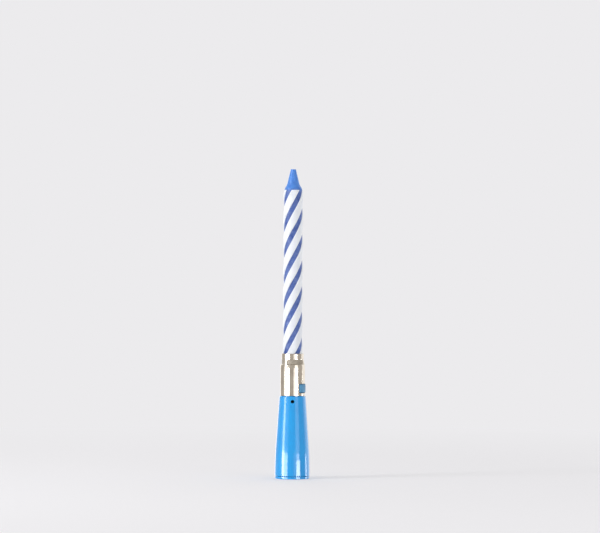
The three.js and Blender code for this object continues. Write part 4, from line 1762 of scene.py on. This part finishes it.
@dataclass
class CircuitBoard(OnBoard):
    """The board with its tracks and pads."""

    foot_half: float = 2.5
    foot: float = low_of("circuit_board", Z)
    shoulder: float = 15.5
    shoulder_lap: float = 1.0
    top: float = high_of("circuit_board", Z)
    sheet_edge: float = 0.06
    foil: float = 0.04
    track: float = 0.5
    pad: float = 0.55
    pad_share: float = 2.5
    bus_height: float = low_of("driver_transistor", Z)
    chip_foot: float = 20.4
    resistor_top: float = high_of("resistor", Z)

    def tracks(self) -> list[tuple[float, float, float, float]]:
        """The copper tracks, which both faces have.

        Returns:
            For each track its two ends, as x, z, x, z.
        """
        edge = self.half_width - self.track
        leg = self.leg_spacing / 2
        bus = self.bus_height + self.track
        return [
            (-leg, self.leg_foot, -leg, self.top - self.track),
            (leg, self.leg_foot, leg, self.top - self.track),
            (-edge, self.solder_height, -edge, self.resistor_top),
            (-edge, self.resistor_top, -leg, self.resistor_top),
            (edge, self.solder_height, edge, self.leg_foot),
            (edge, self.leg_foot, leg, self.leg_foot),
            (-edge, bus, edge, bus),
            (0, bus, 0, self.chip_foot),
        ]

    def sheet(self) -> Shape:
        """The board: a wide sheet, and a narrow foot that lies a little inside its faces.

        Returns:
            The board.
        """
        half, foot_half, thin = self.half_width, self.foot_half, self.sheet_edge / 4
        wide = (-half, self.face, self.shoulder), (half, self.back, self.top)
        lap = self.shoulder + self.shoulder_lap
        narrow = (-foot_half, self.face + thin, self.foot), (foot_half, self.back - thin, lap)
        return joined([block(*wide, self.sheet_edge), block(*narrow, self.sheet_edge)])

    def copper(self) -> Shape:
        """The tracks, and for each a pad at its end on the face and at its start behind.

        Returns:
            The tracks and pads.
        """
        half, edge, raised = self.track / 2, self.foil / 3, self.pad_share * self.foil
        dot = disc(self.pad, -raised, raised, edge, SMALL_SIDES).laid_back()
        strips, pads = [], []
        for x0, z0, x1, z1 in self.tracks():
            for y in (self.face - self.foil, self.back - self.foil):
                start = (min(x0, x1) - half, y, min(z0, z1) - half)
                end = (max(x0, x1) + half, y + 2 * self.foil, max(z0, z1) + half)
                strips.append(block(start, end, edge))
            pads += [dot.moved(x1, self.face, z1), dot.moved(x0, self.back, z0)]
        return joined(strips + pads)

    def build(self) -> None:
        """Builds the board, and its tracks and pads as one piece."""
        slot, node = "board_laminate", "circuit_board"
        dress("board_sheet", self.sheet(), self.finishes.laminate, Body.BASE, slot, node)
        dress("board_tracks", self.copper(), self.finishes.copper, Body.BASE, "leg_wire")


@dataclass
class MelodyChip(OnBoard):
    """The epoxy drop over the melody chip."""

    radius: float = 2.4
    stand: float = 1.1
    height: float = 22.8
    uneven: float = 0.012
    lobes: tuple[int, int] = (3, 5)
    lean: float = 1.0
    swell: float = 0.8
    sides: int = 96

    def build(self) -> None:
        """Builds the drop: r(a) (1 + two low waves) round, near a quarter ellipse in height."""
        rise, turn = quarter(DOME_STEPS)[:, None], circle(self.sides)[None, :]
        waves = np.sin(self.lobes[0] * turn) + np.sin(self.lobes[1] * turn + self.lean)
        uneven = 1 + self.uneven * (waves - 2)
        radius = self.radius * np.cos(rise) ** self.swell * uneven
        height = self.stand * np.sin(rise) + 0 * turn
        rows = np.stack([radius * np.cos(turn), radius * np.sin(turn), height], axis=-1)[:-1]
        poles = np.array([[0, 0, 0], [0, 0, self.stand]], dtype=float)
        drop = skin(rows, Ends.POLES, poles).laid_back()
        drop = drop.moved(y=self.face - self.sunk, z=self.height)
        slot, node = "black_epoxy", "melody_chip"
        dress("chip_drop", drop, self.finishes.epoxy, Body.BASE, slot, node)


@dataclass
class Transistor(OnBoard):
    """The half-round transistor on its three legs, its flat towards the board."""

    radius: float = 2.1
    flat: float = 0.945
    foot: float = low_of("driver_transistor", Z)
    top: float = high_of("driver_transistor", Z)
    edge: float = 0.18
    pitch: float = 1.27
    leg_in: float = 0.2
    leg_bend: float = 0.05
    sides: int = 48

    def body(self) -> Shape:
        """The body: an arc of r closed by the flat, drawn in towards its middle at both ends.

        Returns:
            The body, its middle on the axis.
        """
        start = math.asin(self.flat / self.radius)
        turn = np.linspace(-math.pi - start, start, self.sides)
        outline = self.radius * np.stack([np.cos(turn), np.sin(turn)], axis=1)
        ease = self.edge * (1 - np.sin(quarter(ROUND_STEPS)))
        level = self.edge * (1 - np.cos(quarter(ROUND_STEPS)))
        inset = np.concatenate([ease, ease[::-1]])[:, None, None]
        height = np.concatenate([self.foot + level, self.top - level[::-1]])
        middle = np.array([0.0, -self.radius / 4])
        plan = middle + (outline - middle)[None] * (1 - inset / self.radius)
        rows = np.concatenate([plan, 0 * plan[..., :1] + height[:, None, None]], axis=-1)
        poles = np.array([[*middle, self.foot], [*middle, self.top]])
        return skin(rows, Ends.POLES, poles)

    def build(self) -> None:
        """Builds the body and its legs, which bend in to the board."""
        y = self.face - self.gap - self.flat
        slot, node = "black_epoxy", "driver_transistor"
        body = self.body().moved(y=y)
        dress("transistor_body", body, self.finishes.moulding, Body.BASE, slot, node)
        legs, hole = [], self.foot - self.leg_bend
        for x in (-self.pitch, 0.0, self.pitch):
            legs += [
                rod(through([
                    (x, y, self.foot + self.leg_in), (x, y + self.leg_bend, self.foot),
                    (x, self.face + self.leg_in, hole),
                ]), self.wire),
                self.solder_drop(x, hole, True),
            ]
        self.soldered("transistor_legs", legs)


@dataclass
class Passives(OnBoard):
    """The resistor and the capacitor behind the board, with their legs.

    barrel is half of the resistor's outline: shares of its radius, heights from its end, and
    roundings. A leg's corners say how far they lie from its body's middle towards the board, and
    how far past the resistor's end or over the capacitor's foot.
    """

    inset: float = 1.9
    radius: float = 0.8
    foot: float = low_of("resistor", Z)
    top: float = high_of("resistor", Z)
    barrel: tuple[Spot, ...] = ((0.55, 0, 0.1), (1, 0.3, 0.25), (1, 0.8, 0.2), (0.86, 1.1, 0.2))
    rings: tuple[tuple[float, str], ...] = (
        (0.2, "5a2f16"), (0.36, "141414"), (0.52, "b8791c"), (0.8, "c39a3a"),
    )
    resistor_leg: tuple[tuple[float, float], ...] = ((0.0, -0.3), (0.0, 0.3), (0.5, 0.62))
    resistor_hole: float = 0.65
    pill_radius: float = 1.7
    pill_sheet: float = 1.0
    pill_height: float = 18.5
    pill_flat_share: float = 0.55
    pill_flat_round: float = 0.4
    pill_rim: float = 0.12
    pill_rim_round: float = 0.35
    pill_pitch: float = 0.9
    pill_leg: tuple[tuple[float, float], ...] = ((0.0, 0.5), (0.0, -0.1), (0.4, -0.45))
    pill_hole: float = 0.5

    def leg(
        self, x: float, y: float, z: float, corners: Iterable[tuple[float, float]], hole: float
    ) -> list[Shape]:
        """A leg that bends in to the board, and its solder.

        Args:
            x: Where it stands across the board.
            y: How far back its body's middle lies.
            z: The height that its corners are counted from.
            corners: How far each corner lies in from the middle, and how high.
            hole: The height of its hole in the board.

        Returns:
            The leg and the drop.
        """
        spots = [(x, y - inward, z + up) for inward, up in corners]
        path = through([*spots, (x, self.back - self.sunk, z + hole)])
        return [rod(path, self.wire), self.solder_drop(x, z + hole, False)]

    def build_resistor(self) -> list[Shape]:
        """Builds the resistor: a barrel with thicker ends.

        Returns:
            Its legs.
        """
        lacquer = BandedLacquer.made(
            "resistor lacquer", "cbb27c", "bfa36c", clouds=0.8, grain=4.0, grain_depth=0.015,
            foot=self.foot, top=self.top, rings=self.rings,
        )
        half = [(share * self.radius, rise, bend) for share, rise, bend in self.barrel]
        barrel = lathe(rounded([
            (0, self.foot, 0), *((r, self.foot + rise, bend) for r, rise, bend in half),
            *((r, self.top - rise, bend) for r, rise, bend in half[::-1]), (0, self.top, 0),
        ]), SMALL_SIDES)
        y = self.back + self.gap + self.radius
        piece = barrel.moved(-self.inset, y)
        dress("resistor_body", piece, lacquer, Body.BASE, "resistor_lacquer", "resistor")
        legs = []
        for z, away in ((self.top, 1), (self.foot, -1)):
            corners = [(inward, up * away) for inward, up in self.resistor_leg]
            legs += self.leg(-self.inset, y, z, corners, self.resistor_hole * away)
        return legs

    def build_capacitor(self) -> list[Shape]:
        """Builds the capacitor: a dipped pill.

        Returns:
            Its legs.
        """
        half, flat = self.pill_sheet / 2, self.pill_radius * self.pill_flat_share
        pill = lathe(rounded([
            (0, -half, 0), (flat, -half, self.pill_flat_round),
            (self.pill_radius, -self.pill_rim, self.pill_rim_round),
            (self.pill_radius, self.pill_rim, self.pill_rim_round),
            (flat, half, self.pill_flat_round), (0, half, 0),
        ]), SMALL_SIDES).laid_back()
        y = self.back + self.gap + half
        piece = pill.moved(self.inset, y, self.pill_height)
        slot, node = "capacitor_lacquer", "capacitor"
        dress("capacitor_body", piece, self.finishes.dipped, Body.BASE, slot, node)
        legs, foot = [], self.pill_height - self.pill_radius
        for side in (-1, 1):
            x = self.inset + side * self.pill_pitch
            legs += self.leg(x, y, foot, self.pill_leg, -self.pill_hole)
        return legs

    def build(self) -> None:
        """Builds both, and their legs as one piece."""
        self.soldered("passive_legs", self.build_resistor() + self.build_capacitor())


@dataclass
class LightSensor(OnBoard):
    """The clear light sensor, the frame inside it and its two legs."""

    radius: float = 1.5
    rim: float = 1.75
    rim_height: float = 0.7
    rim_round: float = 0.1
    foot: float = low_of("light_sensor", Z)
    body: float = 3.0
    edge: float = 0.05
    sides: int = 96
    leg_half: float = 0.22
    leg_rise: float = 0.5
    post_half: tuple[float, float] = (0.3, 0.25)
    post_foot: float = 0.2
    post_drop: float = 0.6
    post_round: float = 0.06
    post_reach: float = 0.7
    cup_low: Spot = (-0.55, -0.4, -0.7)
    cup_high: Spot = (0.5, 0.4, -0.3)
    cup_round: float = 0.08
    cup_shift: float = 0.4

    def lens(self) -> Shape:
        """The lens: a rimmed cylinder under a dome, which is a quarter circle turned round.

        Returns:
            The lens.
        """
        shoulder, rim_top = self.foot + self.body, self.foot + self.rim_height
        turn = quarter(DOME_STEPS)
        across, up = self.radius * np.cos(turn), shoulder + self.radius * np.sin(turn)
        skirt = rounded([
            (0, self.foot, 0), (self.rim, self.foot, self.rim_round),
            (self.rim, rim_top, self.rim_round), (self.radius, rim_top, self.edge),
            (self.radius, shoulder - self.edge, 0),
        ])
        return lathe(np.concatenate([skirt, np.stack([across, up], axis=1)]), self.sides)

    def build(self) -> None:
        """Builds the lens, the frame with its cup, and the legs."""
        slot, node = "clear_plastic", "light_sensor"
        dress("sensor_lens", self.lens(), self.finishes.clear, Body.BASE, slot, node)
        shoulder = self.foot + self.body
        (wide, deep), reach = self.post_half, self.post_reach
        foot, top = self.foot + self.post_foot, shoulder - self.post_drop
        post = block((-wide, -deep, foot), (wide, deep, top), self.post_round)
        cup = block(self.cup_low, self.cup_high, self.cup_round).moved(-self.cup_shift, z=shoulder)
        self.soldered("sensor_frame", [post.moved(-reach), post.moved(reach), cup])
        half = self.leg_half
        leg = block((-half, -half, self.leg_foot), (half, half, self.foot), self.edge)
        for side, name in ((-1, "left"), (1, "right")):
            x = side * self.leg_spacing / 2
            joint = self.solder_drop(x, self.leg_foot + self.leg_rise, False)
            self.soldered(f"sensor_pin_{name}", [leg.moved(x), joint], f"sensor_leg_{name}")


@dataclass
class Leads(OnBoard):
    """The two leads from the board to the sounder, and their bare ends.

    run is the route under the board and tail the bare end at the sounder, both in x and z.
    pigtail holds the x of the bare end at the board, whose last spot lies pigtail_in nearer.
    """

    radius: float = 0.35
    side: float = 0.6
    sides: int = 24
    board_end: float = 0.9
    turn_down: float = -4.5
    run: tuple[tuple[float, float], ...] = (
        (-4.85, 13.1), (-4.85, 11.65), (-4.85, 8.05), (-4.85, 4.8), (-4.3, 3.6), (-3.1, 2.55),
        (-2.2, 2.55),
    )
    tail: tuple[tuple[float, float], ...] = ((-2.6, 2.55), (-2.0, 2.5), (-1.6, 2.15))
    pigtail: tuple[float, float, float] = (-3.3, -2.7, -2.4)
    pigtail_in: float = 0.5
    blob: Drop = Drop(radius=0.6, height=0.45, tip=0.5, sunk=0.03, narrowing=0.7, power=1.5)
    blob_x: float = -1.7
    blob_foot: float = 2.08

    def build_lead(self, side: int, name: str, finish: bpy.types.Material) -> None:
        """Builds a lead along the model's route, with bare ends in solder.

        Args:
            side: 1 for the lead at the board's back, -1 for the one at its front.
            name: The colour in the names of its pieces and node.
            finish: Its insulation.
        """
        y, top = side * self.side, self.solder_height
        clear = self.gap + self.radius
        board = self.back + clear if side > 0 else self.face - clear
        spots = [
            (self.board_end - self.half_width, board, top),
            (self.turn_down, board, top - self.radius),
            *((x, y, z) for x, z in self.run),
        ]
        sheath, node = rod(through(spots), self.radius, self.sides), f"lead_{name}"
        dress(f"lead_sheath_{name}", sheath, finish, Body.BASE, f"{name}_insulation", node)
        start, middle, end = self.pigtail
        inward = board - self.pigtail_in * side
        pigtail = [(start, board, top), (middle, board, top), (end, inward, top)]
        self.soldered(f"lead_ends_{name}", [
            rod(through([(x, y, z) for x, z in self.tail]), self.wire),
            rod(through(pigtail), self.wire),
            self.blob.shape().moved(self.blob_x, y, self.blob_foot),
            self.solder_drop(end, top, side > 0),
        ])

    def build(self) -> None:
        """Builds the red lead and the black one."""
        self.build_lead(1, "red", self.finishes.red)
        self.build_lead(-1, "black", self.finishes.black)


# Studio


@dataclass
class Panel:
    """A soft light panel that stands round the candle at a turn, seen in its gloss."""

    name: str
    turn: float
    width: float
    foot: float
    top: float
    distance: float
    radiance: float

    def build(self) -> None:
        """Stands the panel up, facing the candle's axis."""
        light = bpy.data.lights.new(self.name, "AREA")
        light.shape = "RECTANGLE"
        light.size = self.width * MILLIMETRE
        light.size_y = (self.top - self.foot) * MILLIMETRE
        light.energy = self.radiance * math.pi * light.size * light.size_y
        lamp = bpy.data.objects.new(self.name, light)
        turn = math.radians(self.turn)
        lamp.location = polar(self.distance, turn, (self.foot + self.top) / 2) * MILLIMETRE
        lamp.rotation_euler = (math.pi / 2, 0.0, turn)
        lamp.visible_camera = False
        bpy.context.scene.collection.objects.link(lamp)


@dataclass
class Studio:
    """The pale floor, the light panels, the room and the camera."""

    frame_width: float = 241.5
    lens: float = 200.0
    sensor: float = 36.0
    camera_x: float = 2.8
    camera_roll: float = math.radians(-0.22)
    camera_height: float = 85.3
    floor_radius: float = 6000.0
    floor_depth: float = 1.0
    floor_sides: int = 96
    floor_glow: float = 0.35
    floor_fade_from: float = 150.0
    floor_fade_to: float = 430.0
    paper: Colour = tint("f1f0f2")
    paper_shade: Colour = tint("edecef")
    paper_scale: float = 0.8
    paper_detail: float = 4.0
    paper_from: float = 0.3
    paper_to: float = 0.7
    paper_roughness: float = 0.8
    room: Colour = tint("ecebed")
    fill: Colour = (0.62, 0.62, 0.625, 1.0)
    mirrored: Colour = (0.6, 0.56, 0.52, 1.0)
    panels: tuple[Panel, ...] = (
        Panel("left panel", -65, 180, -160, 620, 600, 6.0),
        Panel("left low panel", -53, 440, -160, 31, 590, 8.4),
        Panel("left sheet", -60, 760, -160, 620, 640, 0.5),
        Panel("right low panel", 40, 260, -160, 10, 560, 12.5),
        Panel("right panel", 38, 180, 14, 28, 560, 5.0),
        Panel("right sheet", 27.6, 394, -160, 37, 600, 1.2),
        Panel("right high sheet", 36, 300, 37, 620, 600, 1.25),
        Panel("back panel", 102, 120, -160, 8, 600, 6.5),
        Panel("back sheet", 132, 800, -160, 620, 700, 0.72),
        Panel("far sheet", 198, 420, -160, 620, 800, 1.0),
    )

    def floor_look(self) -> bpy.types.Material:
        """Builds the floor's material: paper that fades into the room's colour far out.

        Returns:
            The material.
        """
        material = bpy.data.materials.new("pale floor")
        material.use_nodes = True
        tree = Tree(material.node_tree)
        shader = tree.nodes["Principled BSDF"]
        spot = tree.place()
        noise = tree.noise(spot, self.paper_scale, self.paper_detail)
        share = tree.span(noise, self.paper_from, self.paper_to, 0.0, 1.0)
        tree.feed(shader.inputs["Base Color"], tree.blend(share, self.paper, self.paper_shade))
        shader.inputs["Roughness"].default_value = self.paper_roughness
        distance = tree.add("VectorMath", {"operation": "LENGTH"})
        tree.feed(distance.inputs[0], spot)
        out, near, far = distance.outputs["Value"], self.floor_fade_from, self.floor_fade_to
        glow_share = tree.span(out, near, far, self.floor_glow, 1.0)
        glow = tree.add("Emission", Color=self.room)
        self.mix(tree, glow_share, shader, glow, "Material Output")
        return material

    def mix(
        self, tree: Tree, factor: Socket, first: bpy.types.Node, second: bpy.types.Node, end: str
    ) -> None:
        """Mixes two shaders and sends them to the tree's end.

        Args:
            tree: The node tree.
            factor: How much of the second shader there is.
            first: The first shader.
            second: The second shader.
            end: The name of the output node.
        """
        mixed = tree.add("MixShader", Fac=factor)
        tree.feed(mixed.inputs[1], first.outputs[0])
        tree.feed(mixed.inputs[2], second.outputs[0])
        tree.feed(tree.nodes[end].inputs["Surface"], mixed.outputs[0])

    def build_floor(self) -> None:
        """Builds the floor, a wide disc that the candle stands on."""
        floor = new_object(
            "floor", disc(self.floor_radius, -self.floor_depth, 0, 0, self.floor_sides)
        )
        floor.data.materials.append(self.floor_look())
        floor.visible_glossy = False

    def build_room(self) -> None:
        """Sets the room: pale to the camera, and a dimmer warm grey in light and reflections."""
        world = bpy.data.worlds.new("room")
        world.use_nodes = True
        bpy.context.scene.world = world
        tree = Tree(world.node_tree)
        seen = tree.nodes["Background"]
        seen.inputs["Color"].default_value = self.room
        path = tree.add("LightPath")
        light = tree.blend(path.outputs["Is Glossy Ray"], self.fill, self.mirrored)
        felt = tree.add("Background", Color=light)
        self.mix(tree, path.outputs["Is Camera Ray"], felt, seen, "World Output")

    def build_camera(self) -> None:
        """Places the camera level before the candle, at the photograph's framing."""
        data = bpy.data.cameras.new("camera")
        data.lens, data.sensor_width = self.lens, self.sensor
        camera = bpy.data.objects.new("camera", data)
        distance = self.frame_width * self.lens / self.sensor
        place = np.array([self.camera_x, -distance, self.camera_height])
        camera.location = place * MILLIMETRE
        camera.rotation_euler = (math.pi / 2, self.camera_roll, 0.0)
        bpy.context.scene.collection.objects.link(camera)
        bpy.context.scene.camera = camera

    def build(self) -> None:
        """Builds the camera, the floor, the room and the panels."""
        self.build_camera()
        self.build_floor()
        self.build_room()
        for panel in self.panels:
            panel.build()
        bpy.context.scene.view_settings.view_transform = "Standard"


ASSEMBLIES = (
    BaseShell, MetalSocket, LockTab, WaxCandle, BottomCap, PowerCell, CircuitBoard, MelodyChip,
    Transistor, Passives, LightSensor, Leads,
)


def main() -> None:
    """Builds the candle piece by piece."""
    logging.basicConfig(level=logging.INFO, format="%(name)s: %(message)s")
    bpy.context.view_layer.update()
    finishes = Finishes()
    Studio().build()
    for assembly in ASSEMBLIES:
        LOG.info("building %s", assembly.__name__)
        assembly(finishes).build()


if __name__ == "__main__":
    main()
